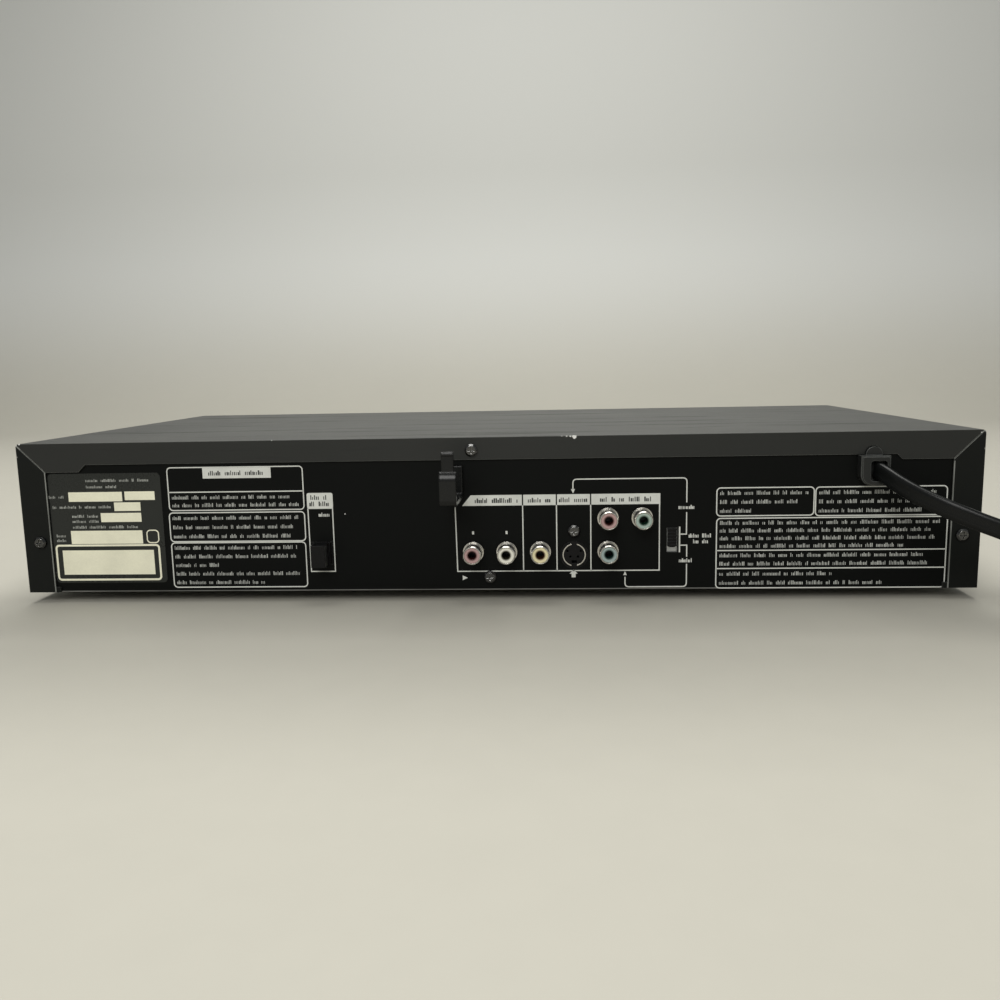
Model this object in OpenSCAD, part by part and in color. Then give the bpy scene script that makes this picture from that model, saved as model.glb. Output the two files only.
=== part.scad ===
// Slim disc player with a motor-driven loading tray, a folded steel case and a row of rear sockets.
// Row frame: +X to the right seen from the front, +Y to the rear, +Z up, floor at z = 0.

/* [Case] */
// Width of the case over the cover
body_w = 430; // [420:1:440]
// Height of the cover, from its lower edge to its top
cover_h = 69.5; // [68:0.5:80]
// Depth of the cover, from the fascia to the rear flange
cover_d = 222; // [218:1:240]
// Depth of the moulded fascia in front of the cover
fascia_d = 26; // [24:1:30]
// Clear height under the cover
floor_gap = 5; // [5:0.5:9]
// Sheet thickness of the cover
cover_t = 0.9; // [0.7:0.1:1.1]
// Bend radius on the outside of the cover
cover_bend = 1.6; // [1.3:0.1:2.4]
// Sheet thickness of the rear panel
panel_t = 0.8; // [0.6:0.1:1.1]
// Sheet thickness of the chassis pan
pan_t = 1; // [0.8:0.1:1.2]
// Height of the pan's side walls
pan_side_h = 30; // [20:1:40]
// Height of the cover's rear flange between its deeper ends
flange_h = 10; // [8:0.5:10.5]
// Height of the rear flange at its plain end
flange_end_h = 13.3; // [12:0.1:14]
// Height of the rear flange at the end beside the mains lead
flange_lead_h = 12.3; // [12:0.1:14]
// Length of the deeper part of the rear flange at its plain end
flange_end_run = 19; // [14:1:22]
// Length of the deeper part of the rear flange beside the mains lead
flange_lead_run = 24; // [20:1:25]
// Width of the flanges that close the cover's sides at the rear
side_flange_w = 12.7; // [11.5:0.1:13]
// Wall thickness of the fascia
fascia_wall = 2.4; // [2:0.1:3]
// How far the fascia's top lies below the cover's top
fascia_drop = 1.6; // [1.4:0.1:2.4]
// How far the fascia hangs below the cover's lower edge
fascia_lip = 2; // [1.9:0.1:2.4]
// Radius of the fascia's front edges
fascia_r = 4; // [3:0.5:5]
// Diameter of a foot
foot_d = 22; // [18:1:24]

/* [Rear sockets] */
// Spacing of the socket columns
jack_pitch = 15.1; // [14.8:0.1:15.6]
// Spacing of the two socket rows
row_pitch = 15; // [14.6:0.1:16]
// Sideways place of the first socket
jack_x = 6.5; // [4:0.5:8]
// Height of the lower socket row above the cover's lower edge
jack_z = 17.6; // [17:0.1:19]
// Outer diameter of a phono socket's shell
jack_d = 8.3; // [8.1:0.1:8.5]
// How far a phono socket stands out of the case
jack_out = 8; // [7:0.5:9]
// Diameter of the flange at the root of a phono shell
jack_flange_d = 9.4; // [9.2:0.1:11]
// Diameter of the hole in a phono socket's insert
jack_bore_d = 3.5; // [3.2:0.1:3.8]
// Outer diameter of the round video socket's shield
din_d = 10.4; // [10:0.1:10.8]
// Sideways place of the optical socket
optical_x = 75.8; // [72:0.5:78]
// Sideways place of the slide switch
switch_x = -82.3; // [-84:0.5:-81]
// Height of the slide switch's middle above the cover's lower edge
switch_z = 22.3; // [20:0.5:24]
// Travel of the slide switch
switch_stroke = 2.4; // [1.8:0.1:2.6]
// Distance of the mains lead's strain relief from the side of the case
relief_in = 47; // [43:1:60]
// Width of the strain relief
relief_w = 12.4; // [12:0.1:13]
// Height of the strain relief
relief_h = 12.8; // [12.4:0.1:13.4]
// How far the strain relief stands out
relief_out = 5; // [4:0.5:6]
// Sideways place of the cord hook
hook_x = 14.2; // [13:0.2:24]
// Width of the cord hook
hook_w = 7.1; // [5:0.1:8]
// How far the cord hook stands out, which is also the depth behind the rear flange
hook_out = 27; // [22:1:30]

/* [Loader] */
// Diameter of the disc that the tray holds
disc_d = 120; // [120:1:121]
// Play around the disc in its well
disc_play = 1; // [0.6:0.1:1.4]
// Travel of the tray
tray_stroke = 130; // [120:1:132]
// Width of the tray
tray_w = 128; // [127:0.5:130]
// Height of the tray
tray_h = 6; // [5.5:0.1:6.4]
// Height of the tray's underside above the floor gap
tray_rise = 42; // [41.5:0.1:42.5]
// Depth of the disc well
well_depth = 3.5; // [3:0.1:3.8]
// Width of the slot that the pickup works through
slot_w = 36; // [34:0.5:37]
// Tray front to disc centre
tray_nose = 71.5; // [70:0.5:74]
// Tilt of the pickup deck when it drops clear of the disc
lift_angle = 5.5; // [4.5:0.1:5.8]
// Travel of the slider that raises the pickup deck
lift_stroke = 14; // [12:0.5:15]
// Travel of the pickup along its rods
sled_stroke = 34; // [28:1:34]
// Module of all gear teeth
gear_module = 0.8; // [0.76:0.01:0.82]
// Teeth on every small pinion
pinion_teeth = 12; // [12:1:13]
// Teeth on the pinion that drives the tray's rack
rack_pinion_teeth = 14; // [13:1:14]
// Teeth on the large wheel of the drive gear
wheel_teeth = 26; // [24:1:26]
// Radius of the belt's path round the belt gear
belt_big_r = 10.5; // [9:0.5:10.5]
// Radius of the belt's path round the motor pulley
belt_small_r = 3.5; // [3:0.25:4.5]
// Thickness of the belt, which is square
belt_t = 1.6; // [1.2:0.1:1.8]

/* [Front] */
// Width of the tray door
door_w = 132; // [131:0.5:134]
// Height of the tray door
door_h = 16; // [15.6:0.2:16.6]
// Width of the display window
window_w = 124; // [110:1:130]
// Height of the display window
window_h = 22; // [18:1:24]
// Diameter of the round buttons
button_d = 13; // [11:0.5:15]
// Travel of a button
button_stroke = 1; // [0.6:0.1:1.2]
// Tilt of the skip rocker each way
rocker_tilt = 4; // [3:0.5:5]

/* [Mains lead] */
// Width of the flat cord
cord_w = 7.6; // [7:0.1:8]
// Thickness of the flat cord
cord_t = 3.8; // [3.4:0.1:4]
// Radius of the stored coil at the middle of its turns
coil_r = 44; // [42:0.5:46]

/* [Fits] */
// Gap between pieces that move past each other
slide_gap = 0.4; // [0.3:0.05:0.5]
// Gap between a cap and the hole it shows through
cap_gap = 0.4; // [0.3:0.05:0.6]
// Gap that keeps a resting piece just clear of its seat
rest_gap = 0.3; // [0.2:0.05:0.4]
// Radial play of a shaft in its bore
shaft_play = 0.05; // [0.03:0.01:0.09]
// Gap between sheets that lie on each other
sheet_gap = 0.1; // [0.05:0.05:0.2]
// Radius of a hole that a tapping screw cuts its thread in
screw_core_r = 1.3; // [1.2:0.05:1.4]
// Radius of a screw's shank
screw_r = 1.25; // [1.1:0.05:1.25]

/* [Hidden] */
$fn = 64;
e = 0.01;

// Case planes
half_w = body_w / 2;
rear_y = (cover_d + fascia_d - hook_out) / 2;
front_y = rear_y - cover_d - fascia_d;
seam_y = front_y + fascia_d;
case_z = floor_gap;
top_z = case_z + cover_h;
pan_top = case_z + pan_t;
panel_y = rear_y - cover_t - sheet_gap;
panel_in = panel_y - panel_t;
pan_half = half_w - cover_t - slide_gap;
flange_z = top_z - flange_h;
flange_end_z = top_z - flange_end_h;
flange_lead_z = top_z - flange_lead_h;
flange_in = half_w - side_flange_w;
fascia_bottom = case_z - fascia_lip;
fascia_top = top_z - fascia_drop;
fascia_in = front_y + fascia_wall;
fascia_tongue = 6;
foot_x = half_w - 40;
foot_y = [seam_y + foot_d / 2 + 0.5, rear_y - 38];

// Screws
head_r = 2.8;
head_h = 1.8;
screw_len = 7;
cover_screw_x = 6.4;
cover_screw_z = top_z - 5.7;
flange_screw_x = half_w - 7.7;
flange_screw_z = case_z + 23.8;
side_screw_z = case_z + 12;
side_screw_y = [seam_y + 42, rear_y - 52];
jack_screw_z = case_z + 26.8;
panel_screw = [jack_x - 7.3, case_z + 6.1];

// Boards and sockets
board_t = 1.6;
jack_row = case_z + jack_z;
upper_row = jack_row + row_pitch;
housing_half = 8.2;
board_top = jack_row - housing_half - 0.4;
board_z = board_top - board_t;
housing_d = 14;
shell_wall = 0.6;
insert_r = jack_d / 2 - shell_wall - shaft_play;
jack_depth = 6;
columns = [for (i = [0 : 5]) jack_x - i * jack_pitch];
din_x = columns[3];
din_z = jack_row - 1.6;
din_core_r = din_d / 2 + 0.9;
optical_w = 9.8;
optical_h = 10.2;
optical_plug = 6;
optical_hole = optical_plug + 0.5;
optical_tab_w = 6.3;
optical_tab_h = 10;
optical_out = 9;
switch_mid = case_z + switch_z;
knob_h = 8;
knob_w = 4;
aperture_h = knob_h + switch_stroke + 0.6;
aperture_w = knob_w + 0.6;
stem_h = 3.6;
relief_x = relief_in - half_w;
relief_z = flange_z - 0.2 - relief_h / 2;
relief_r = 4.6;
relief_waist = 0.7;
relief_tab_r = 3.5;
notch_r = relief_tab_r + 0.3;
mouth_w = 7;
mouth_h = 8.8;
mouth_x = relief_x - 1.1;
hook_z = case_z + 42.6;
hook_base_h = 14.2;
hook_t = 2;
hook_front_h = 15.7;
hook_tip_h = 22.9;
hook_curl = 5;
hook_tip_w = hook_w * 0.72;

// Loader
tray_front = front_y + 4;
disc_y = tray_front + tray_nose;
tray_z = case_z + tray_rise;
tray_top = tray_z + tray_h;
tray_rear = disc_y + disc_d / 2 + 39.5;
well_r = disc_d / 2 + disc_play;
well_z = tray_top - well_depth;
small_well_r = 41;
small_well_step = 0.8;
frame_wall = 3;
frame_in = tray_w / 2 + slide_gap;
frame_out = frame_in + frame_wall;
frame_front = seam_y + 1;
frame_rear = tray_rear + 8;
frame_z = case_z + 17;
deck_z = case_z + 23;
deck_t = 2;
deck_top = deck_z + deck_t;
bridge_z = tray_top + 2.9;
bridge_t = 1.2;
bridge_half = 20;
boss_x = frame_out + 2.2;
foot_hole_x = frame_out + 6;
ledge_w = 1.6;
rack_h = 3;
rack_z = tray_z - rack_h;
rack_back_x = -(frame_in - ledge_w - slide_gap - 0.2);
rack_x = rack_back_x + 4.2;

// Gears
pressure = 25;
tooth_tip = 0.75 * gear_module;
tooth_root = 1.1 * gear_module;
tooth_thin = 0.12;
rack_step = PI * gear_module;
drive_r = gear_module * rack_pinion_teeth / 2;
wheel_r = gear_module * wheel_teeth / 2;
pinion_r = gear_module * pinion_teeth / 2;
axle_r = 1.5;
motor_shaft_r = 1;
drive_x = rack_x + drive_r;
gear_y = frame_front + belt_big_r + belt_t + 1.2;
belt_x = drive_x + wheel_r + pinion_r;
motor_x = belt_x + 39;
belt_z = deck_top + 1;
pulley_h = 4;
wheel_z = belt_z + pulley_h + 1;
wheel_h = 2.6;
drive_top = tray_z - slide_gap;
belt_gear_top = wheel_z + wheel_h + 0.6;
flange_over = 1;
loading_motor_r = 9;

// Pickup deck and what rides on it
deck2_z = case_z + 33;
deck2_t = 2.5;
deck2_top = deck2_z + deck2_t;
deck2_half = 34;
deck2_front = disc_y - 18;
pivot_y = disc_y + 82;
pivot_z = deck2_z + deck2_t / 2;
deck2_rear = pivot_y + 4;
pivot_r = 2;
pivot_len = 4.8;
pin_z = case_z + 17;
pin_r = 1.5;
tab_y = deck2_front - 1.5;
slider_t = 2.4;
slider_y = tab_y - 1.5 - slider_t;
slider_z = case_z + 3.5;
slider_top = deck_z - slide_gap;
// Drop of the pin's centre line where it crosses the middle of the slider
lift_drop = (pivot_y - slider_y - slider_t / 2) * tan(lift_angle)
    + (pivot_z - pin_z) * (1 / cos(lift_angle) - 1);
pin_tip = slider_y - 1.5;
lens_r0 = 24;
rod_x = 24;
rod_r = 1.5;
rod_z = deck2_top + 2;
rod_front = disc_y + 16;
rod_rear = pivot_y - 7;
sled_half = 19;
sled_front = disc_y + 16.5;
sled_len = 23.5;
sled_z = deck2_z - 0.5;
sled_top = tray_z - 1.2;
opening_front = disc_y + 14.5;
opening_rear = sled_front + sled_len + sled_stroke + 1;
sled_rack_x = 18.2;
sled_gear_x = sled_rack_x + pinion_r;
sled_gear_y = disc_y + 48;
sled_rack_z = deck2_z - 4.5;
sled_rack_h = 3.3;
stepper_top = sled_rack_z - 0.5;
stepper_r = 9.5;
stepper_h = 11;
spindle_r = 12;
spindle_h = 8;
platter_r = 15;
platter_z = tray_z + 1.2;
platter_top = tray_z + 4.2;
hub_r = 7.4;
hub_h = 1.8;
spindle_top = platter_top - 0.2;
puck_z = platter_top + rest_gap;
puck_r = 15;
puck_neck_r = 12.4;

// Front
door_z = rack_z + door_h / 2;
door_gap = 0.5;
board_front = front_y + 14;
window_z = case_z + 22;
button_z = case_z + 22;
open_z = door_z;
open_x = door_w / 2 + 30;
skip_x = half_w - 47;
stop_x = half_w - 85;
play_x = stop_x - 26;
power_x = 37 - half_w;
band_in = 10;
key_board_half = half_w - 13;
key_board_wing = open_x - 16;
key_board_low = 7;
key_board_high = 36;
key_board_wing_high = 62;
key_post_low = 12;
key_post_high = 32;
key_post_mid = 75;
key_post_wing_in = 22;
key_post_wing_high = 58;
clip_near = 50;
clip_end = 65;
clip_x = [clip_near, half_w - clip_end];
skip_w = 34;
skip_h = 11;
open_w = 18;
open_h = 8;
cap_lip = 1.2;
cap_lip_t = 1.4;
tact_h = 3.5;
tact_y = board_front - tact_h;

// Parts on the boards
chip_in = 45;
memory_in = 76;
servo_x = -54;
servo_side = 12;
audio_w = 18;
audio_y = 65;
transformer_in = 50;

// Mains lead: where it leaves the strain relief, bends aside and comes down beside its coil.
// The route is drawn for a relief at -168 and a rear flange at 110.5, and moves with them.
cord_shift = [relief_x + 168, rear_y - 110.5, 0];
coil_c = [-284, 129];
coil_z = 0.6;
coil_turns_w = 2;
coil_turns_h = 3;
lead_route = [[-168.9, 113.1, 58], [-170, 116, 57.2], [-171.9, 120.1, 55.4], [-175, 125.4, 52.6],
    [-180.6, 132.2, 48.8], [-189.2, 138.9, 44.6], [-199, 143.6, 40.4], [-206.8, 146.6, 37.4],
    [-218, 150.8, 32.6], [-230, 155.4, 27], [-242, 160, 21.4], [-253, 164.2, 17],
    [-262, 167.6, 14.8], [-268, 169.9, 14.2], [-272, 171.2, 14]];
tail_route = [[-229.8, 138.2, 2.5], [-227.8, 143.7, 2.9], [-226.4, 147.4, 3.4], [-225.4, 150.2, 3.4]];
plug_at = [-225.35, 150.35, 0];
plug_turn = 70;
turn_from = 0.48;
turn_to = 0.82;
plug_z = 7.5;
blade_gap = 12.7;

// ---------------------------------------------------------------- helpers

module box(x, y, z) {
    translate([x[0], y[0], z[0]]) cube([x[1] - x[0], y[1] - y[0], z[1] - z[0]]);
}

module along_y(p, r, len) {
    translate(p) rotate([-90, 0, 0]) cylinder(r = r, h = len);
}

module along_x(p, r, len) {
    translate(p) rotate([0, 90, 0]) cylinder(r = r, h = len);
}

module rounded(w, h, r) {
    square([w - 2 * r, h], center = true);
    square([w, h - 2 * r], center = true);
    for (x = [-1, 1], y = [-1, 1]) translate([x * (w / 2 - r), y * (h / 2 - r)]) circle(r);
}

// An outline drawn in X and Z, carried along Y from y0 for len
module carry_y(y0, len) {
    translate([0, y0 + len, 0]) rotate([90, 0, 0]) linear_extrude(len) children();
}

// An outline drawn in Y and Z, carried along X from x0 for len
module carry_x(x0, len) {
    translate([x0, 0, 0]) rotate([90, 0, 90]) linear_extrude(len) children();
}

module mirrored_x() {
    children();
    mirror([1, 0, 0]) children();
}

// Pan-head screw with a cross recess; its head sits on z = 0 and its shank points down
module screw(len = screw_len) {
    difference() {
        union() {
            cylinder(r = head_r, h = head_h * 0.55);
            translate([0, 0, head_h * 0.55]) cylinder(r1 = head_r, r2 = head_r * 0.72, h = head_h * 0.45);
        }
        for (a = [0, 90]) rotate([0, 0, a]) translate([-1.5, -0.3, head_h - 0.9]) cube([3, 0.6, 1]);
    }
    translate([0, 0, -len]) cylinder(r = screw_r, h = len);
}

// Involute tooth outline, thinned so that a pair runs with play
function inv(a) = tan(a) * 180 / PI - a;
function half_tooth(n, r) =
    let (rp = gear_module * n / 2, rb = rp * cos(pressure), rr = max(r, rb))
    90 / n - tooth_thin / rp * 180 / PI + inv(pressure) - inv(acos(rb / rr));
function tooth_radii(n) =
    let (rp = gear_module * n / 2, rb = rp * cos(pressure), lo = max(rb, rp - tooth_root),
        hi = rp + tooth_tip)
    [rp - tooth_root, for (i = [0 : 4]) lo + (hi - lo) * i / 4];
function gear_outline(n, turn) = [for (k = [0 : n - 1]) each
    let (mid = turn + 360 * k / n, radii = tooth_radii(n), last = len(radii) - 1)
    concat(
        [for (i = [0 : last]) let (a = mid - half_tooth(n, radii[i])) radii[i] * [cos(a), sin(a)]],
        [for (i = [last : -1 : 0]) let (a = mid + half_tooth(n, radii[i])) radii[i] * [cos(a), sin(a)]])];

module gear(n, turn, h) {
    linear_extrude(h) polygon(gear_outline(n, turn));
}

// Straight rack along Y with its teeth facing +X; a tooth's middle is at y = mid
module rack(pitch_x, back_x, y0, y1, mid, z, h) {
    first = ceil((y0 + rack_step / 2 - mid) / rack_step);
    final = floor((y1 - rack_step / 2 - mid) / rack_step);
    lean = tan(pressure);
    half = rack_step / 4 - tooth_thin;
    translate([0, 0, z]) linear_extrude(h) polygon(concat(
        [[back_x, y1], [back_x, y0], [pitch_x - tooth_root, y0]],
        [for (k = [first : final]) each let (c = mid + k * rack_step) [
            [pitch_x - tooth_root, c - half - tooth_root * lean],
            [pitch_x + tooth_tip, c - half + tooth_tip * lean],
            [pitch_x + tooth_tip, c + half - tooth_tip * lean],
            [pitch_x - tooth_root, c + half + tooth_root * lean]]],
        [[pitch_x - tooth_root, y1]]));
}

// ---------------------------------------------------------------- case

module cover_outline(inset) {
    w = body_w - 2 * inset;
    r = cover_bend - inset;
    translate([0, case_z - inset]) {
        translate([-w / 2, 0]) square([w, cover_h - r]);
        translate([-w / 2 + r, 0]) square([w - 2 * r, cover_h]);
        for (s = [-1, 1]) translate([s * (w / 2 - r), cover_h - r]) circle(r);
    }
}

// Opening inside the rear flanges, deeper towards the middle and with a tooth at each lower end
module flange_opening() {
    step = flange_in - flange_end_run;
    ramp = flange_end_h - flange_h;
    lead_step = flange_in - flange_lead_run;
    lead_ramp = flange_lead_h - flange_h;
    polygon([[-flange_in, case_z + 2.5], [-flange_in + 2.2, case_z + 2.5], [-flange_in + 2.2, case_z - 5],
        [flange_in - 2.2, case_z - 5], [flange_in - 2.2, case_z + 2.5], [flange_in, case_z + 2.5],
        [flange_in, flange_end_z], [step + ramp, flange_end_z], [step, flange_z],
        [-lead_step, flange_z], [-lead_step - lead_ramp, flange_lead_z], [-flange_in, flange_lead_z]]);
    translate([relief_x, flange_z]) circle(notch_r);
}

module top_cover() color("#3a3b3b") difference() {
    union() {
        difference() {
            carry_y(seam_y, cover_d) cover_outline(0);
            carry_y(seam_y - 1, cover_d + 2) cover_outline(cover_t);
            box([-body_w, body_w], [seam_y - 1, rear_y + 1], [case_z - 10, case_z]);
        }
        carry_y(rear_y - cover_t, cover_t) difference() {
            intersection() {
                cover_outline(0);
                translate([-half_w, case_z]) square([body_w, cover_h]);
            }
            flange_opening();
        }
    }
    // Mitred joints of the rear flanges
    for (s = [-1, 1]) translate([s * flange_in, rear_y, s > 0 ? flange_end_z : flange_lead_z])
        rotate([0, -s * 45, 0])
        box([s > 0 ? -1 : -(side_flange_w - 2) * sqrt(2), s > 0 ? (side_flange_w - 2) * sqrt(2) : 1],
            [-cover_t - 1, 1], [-0.15, 0.15]);
    along_y([cover_screw_x, rear_y - 3, cover_screw_z], screw_r + 0.3, 4);
    for (s = [-1, 1]) along_y([s * flange_screw_x, rear_y - 3, flange_screw_z], screw_r + 0.3, 4);
    for (s = [-1, 1], y = side_screw_y) along_x([s * half_w - 4, y, side_screw_z], screw_r + 0.3, 8);
}

module chassis_pan() color("#9b9d9e") {
    floor_y = seam_y - fascia_tongue;
    floor_rear = panel_in - sheet_gap;
    difference() {
        union() {
            box([-pan_half, pan_half], [seam_y + 0.5, floor_rear], [case_z, pan_top]);
            box([-pan_half + 20, pan_half - 20], [floor_y, seam_y + 1], [case_z, pan_top]);
            mirrored_x() box([pan_half - pan_t, pan_half], [seam_y + 0.5, floor_rear - 1],
                [case_z, case_z + pan_side_h]);
        }
        // Vent slots under the power board
        for (i = [0 : 11]) translate([power_left + 16 + i * 7, 0, 0])
            box([0, 3], [-40, -5], [case_z - 1, pan_top + 1]);
        for (x = [-foot_x, foot_x], y = foot_y) translate([x, y, case_z - 1])
            cylinder(r = screw_core_r, h = 4);
        for (s = [-1, 1], y = side_screw_y) along_x([s * pan_half - 4, y, side_screw_z], screw_core_r, 8);
    }
    // Posts for the loader and the two boards
    for (p = loader_posts()) translate([p[0], p[1], pan_top - e]) post(4, frame_z - pan_top + e);
    for (p = concat(main_posts(), power_posts())) translate([p[0], p[1], pan_top - e])
        post(3, board_z - pan_top + e);
}

module post(r, h) {
    difference() {
        cylinder(r = r, h = h);
        translate([0, 0, 1]) cylinder(r = screw_core_r, h = h);
    }
}

function loader_posts() = [for (x = [-foot_hole_x, foot_hole_x],
    y = [frame_front + 12, frame_rear - 8]) [x, y]];
function main_posts() = [[main_left + 8, main_front + 6], [40, main_front + 6],
    [main_right - 7, rear_y - 18], [main_right - 7, wing_front + 6], [wing_left + 8, wing_front + 6]];
function power_posts() = [for (x = [power_left + 6, power_right - 6],
    y = [power_front + 6, power_rear - 6]) [x, y]];

board_gap = 8;
main_front = frame_rear + 4;
main_rear = panel_in - 1;
main_right = pan_half - board_gap;
wing_front = seam_y + 50;
wing_left = foot_hole_x + 10.6;
power_left = board_gap - pan_half;
power_right = -foot_hole_x - 23.6;
main_left = power_right + 5;
power_front = seam_y + 45;
power_rear = rear_y - 26;

module rear_panel() color("#1d1e1e") difference() {
    union() {
        carry_y(panel_in, panel_t) {
            translate([-pan_half - 0.2, case_z]) square([2 * pan_half + 0.4, cover_h - cover_t - 1]);
        }
        // Foot of the panel, which lies on the pan
        box([-pan_half + 6, pan_half - 6], [panel_in - 9, panel_in + e], [pan_top, pan_top + panel_t]);
    }
    for (c = jack_centres()) along_y([c[0], panel_in - 1, c[1]], jack_d / 2 + 0.25, 3);
    along_y([din_x, panel_in - 1, din_z], din_core_r + 0.15, 3);
    carry_y(panel_in - 1, 3) translate([optical_x, jack_row])
        square([optical_w + 0.4, optical_h + 0.4], center = true);
    carry_y(panel_in - 1, 3) translate([switch_x, switch_mid])
        square([aperture_w, aperture_h], center = true);
    carry_y(panel_in - 1, 3) relief_outline(relief_waist - 0.1);
    along_y([cover_screw_x, panel_in - 1, cover_screw_z], screw_core_r, 3);
    for (s = [-1, 1]) along_y([s * flange_screw_x, panel_in - 1, flange_screw_z], screw_core_r, 3);
    along_y([din_x, panel_in - 1, jack_screw_z], screw_r + 0.3, 3);
    along_y([panel_screw[0], panel_in - 1, panel_screw[1]], screw_r + 0.3, 3);
    for (x = [-clip_x[1], 0, clip_x[1]]) translate([x, panel_in - 5, pan_top - 1])
        cylinder(r = screw_r + 0.3, h = 4);
    for (z = hook_pegs()) along_y([hook_x, panel_in - 1, z], hook_peg_r + 0.1, 3);
}

function jack_centres() = [[columns[0], jack_row], [columns[1], jack_row], [columns[2], jack_row],
    [columns[4], upper_row], [columns[5], upper_row], [columns[4], jack_row]];

module feet() color("#1b1b1b") for (x = [-foot_x, foot_x], y = foot_y) translate([x, y, 0]) difference() {
    cylinder(r = foot_d / 2, h = case_z);
    translate([0, 0, -1]) cylinder(r = head_r + 1.2, h = 1 + case_z - 2);
}

module cover_screws() color("#2b2b2c") {
    translate([cover_screw_x, rear_y, cover_screw_z]) rotate([-90, 0, 0]) screw();
    for (s = [-1, 1]) translate([s * flange_screw_x, rear_y, flange_screw_z]) rotate([-90, 0, 0]) screw();
    translate([din_x, panel_y, jack_screw_z]) rotate([-90, 0, 0]) screw();
    translate([panel_screw[0], panel_y, panel_screw[1]]) rotate([-90, 0, 0]) screw();
    for (s = [-1, 1], y = side_screw_y) translate([s * half_w, y, side_screw_z]) rotate([0, s * 90, 0])
        screw(5);
}

module deck_screws() color("#b9b9b5") {
    for (p = loader_posts()) translate([p[0], p[1], frame_z + 2.5]) screw();
    for (p = concat(main_posts(), power_posts())) translate([p[0], p[1], board_top]) screw(5);
    for (x = [-boss_x, boss_x], y = [-14, 14]) translate([x, disc_y + y, bridge_z + bridge_t]) screw(6);
}

// ---------------------------------------------------------------- fascia

module fascia_side(inset, back) {
    y0 = front_y + inset;
    z0 = fascia_bottom + inset * 0.75;
    z1 = fascia_top - inset;
    r = fascia_r - inset * 0.8;
    translate([y0 + r, z0]) square([back - y0 - r, z1 - z0]);
    translate([y0, z0 + r]) square([back - y0, z1 - z0 - 2 * r]);
    for (z = [z0 + r, z1 - r]) translate([y0 + r, z]) circle(r);
}

module front_panel() color("#26282a") {
    difference() {
        carry_x(-half_w, body_w) fascia_side(0, seam_y);
        carry_x(-half_w + fascia_wall, body_w - 2 * fascia_wall) fascia_side(fascia_wall, seam_y + 1);
        // Shallow band that holds the window and the buttons
        box([-half_w + band_in, half_w - band_in], [front_y - 1, front_y + 0.8],
            [case_z + 8, case_z + 36]);
        // Tray mouth
        carry_y(front_y - 1, fascia_d) translate([0, door_z])
            square([door_w + 2 * door_gap, door_h + 2 * door_gap], center = true);
        // Window seat and the hole behind it
        carry_y(front_y - 1, 1.8 + 1) translate([0, window_z]) rounded(window_w + 0.4, window_h + 0.4, 3);
        carry_y(front_y - 1, 8) translate([0, window_z])
            square([window_w - 8, window_h - 6], center = true);
        for (x = [power_x, play_x, stop_x]) along_y([x, front_y - 1, button_z], button_d / 2 + cap_gap, 8);
        carry_y(front_y - 1, 8) translate([open_x, open_z])
            rounded(open_w + 2 * cap_gap, open_h + 2 * cap_gap, 3);
        carry_y(front_y - 1, 8) translate([skip_x, button_z])
            rounded(skip_w + 3 * cap_gap, skip_h + 3 * cap_gap, 3);
    }
    // Bosses for the key board, and hooks that catch the pan
    for (p = key_posts()) along_y([p[0], fascia_in - e, p[1]], 2.6, board_front - fascia_in + e);
    mirrored_x() for (x = clip_x) {
        box([x - 5, x + 5], [seam_y - 10, seam_y + 7], [pan_top + 0.2, pan_top + 2.2]);
        box([x - 5, x + 5], [seam_y - 10, seam_y - fascia_tongue - 0.5], [fascia_bottom + 1, pan_top + 1]);
    }
    // Lugs and pin of the rocker
    for (s = [-1, 1]) box([skip_x - 3, skip_x + 3], [fascia_in - e, rocker_pin_y + 2.2],
        [button_z + s * (skip_h / 2 + 1.8) - 1.2, button_z + s * (skip_h / 2 + 1.8) + 1.2]);
    translate([skip_x, rocker_pin_y, button_z - skip_h / 2 - 1]) cylinder(r = rocker_pin_r, h = skip_h + 2);
}

function key_posts() = [[6 - key_board_half, case_z + key_post_low],
    [-clip_x[1] + 10, case_z + key_post_high], [-key_post_mid, case_z + key_post_low],
    [key_post_mid, case_z + key_post_low], [clip_x[1], case_z + key_post_high],
    [key_board_half - 6, case_z + key_post_high],
    [open_x + key_post_wing_in, case_z + key_post_wing_high]];

module display_window() color([0.06, 0.07, 0.08, 0.75]) carry_y(front_y + 0.2, 1.4) translate([0, window_z])
    rounded(window_w, window_h, 2.8);

module key_board() color("#245a3a") difference() {
    union() {
        box([-key_board_half, key_board_half], [board_front, board_front + board_t],
            [case_z + key_board_low, case_z + key_board_high]);
        box([key_board_wing, key_board_half], [board_front, board_front + board_t],
            [case_z + key_board_high - e, case_z + key_board_wing_high]);
        for (p = tact_places())
            box([p[0] - 3, p[0] + 3], [tact_y + 0.8, board_front + e], [p[1] - 3, p[1] + 3]);
        for (p = tact_places()) along_y([p[0], tact_y, p[1]], 1.7, 1);
    }
}

function tact_places() = [[power_x, button_z], [play_x, button_z], [stop_x, button_z], [open_x, open_z],
    [skip_x - 11, button_z], [skip_x + 11, button_z]];

module display_tube() color([0.35, 0.4, 0.4])
    box([-window_w / 2 + 9, window_w / 2 - 9], [board_front - 7, board_front],
    [window_z - window_h / 2 + 2, window_z + window_h / 2 - 2]);

// A push button: cap, a lip behind the wall that keeps it in, and a stem towards its switch
module push_button(x, z) {
    lip_y = fascia_in + rest_gap;
    stem_end = tact_y - button_stroke - rest_gap;
    children();
    along_y([x, lip_y + e, z], 2, stem_end - lip_y - e);
}

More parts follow.
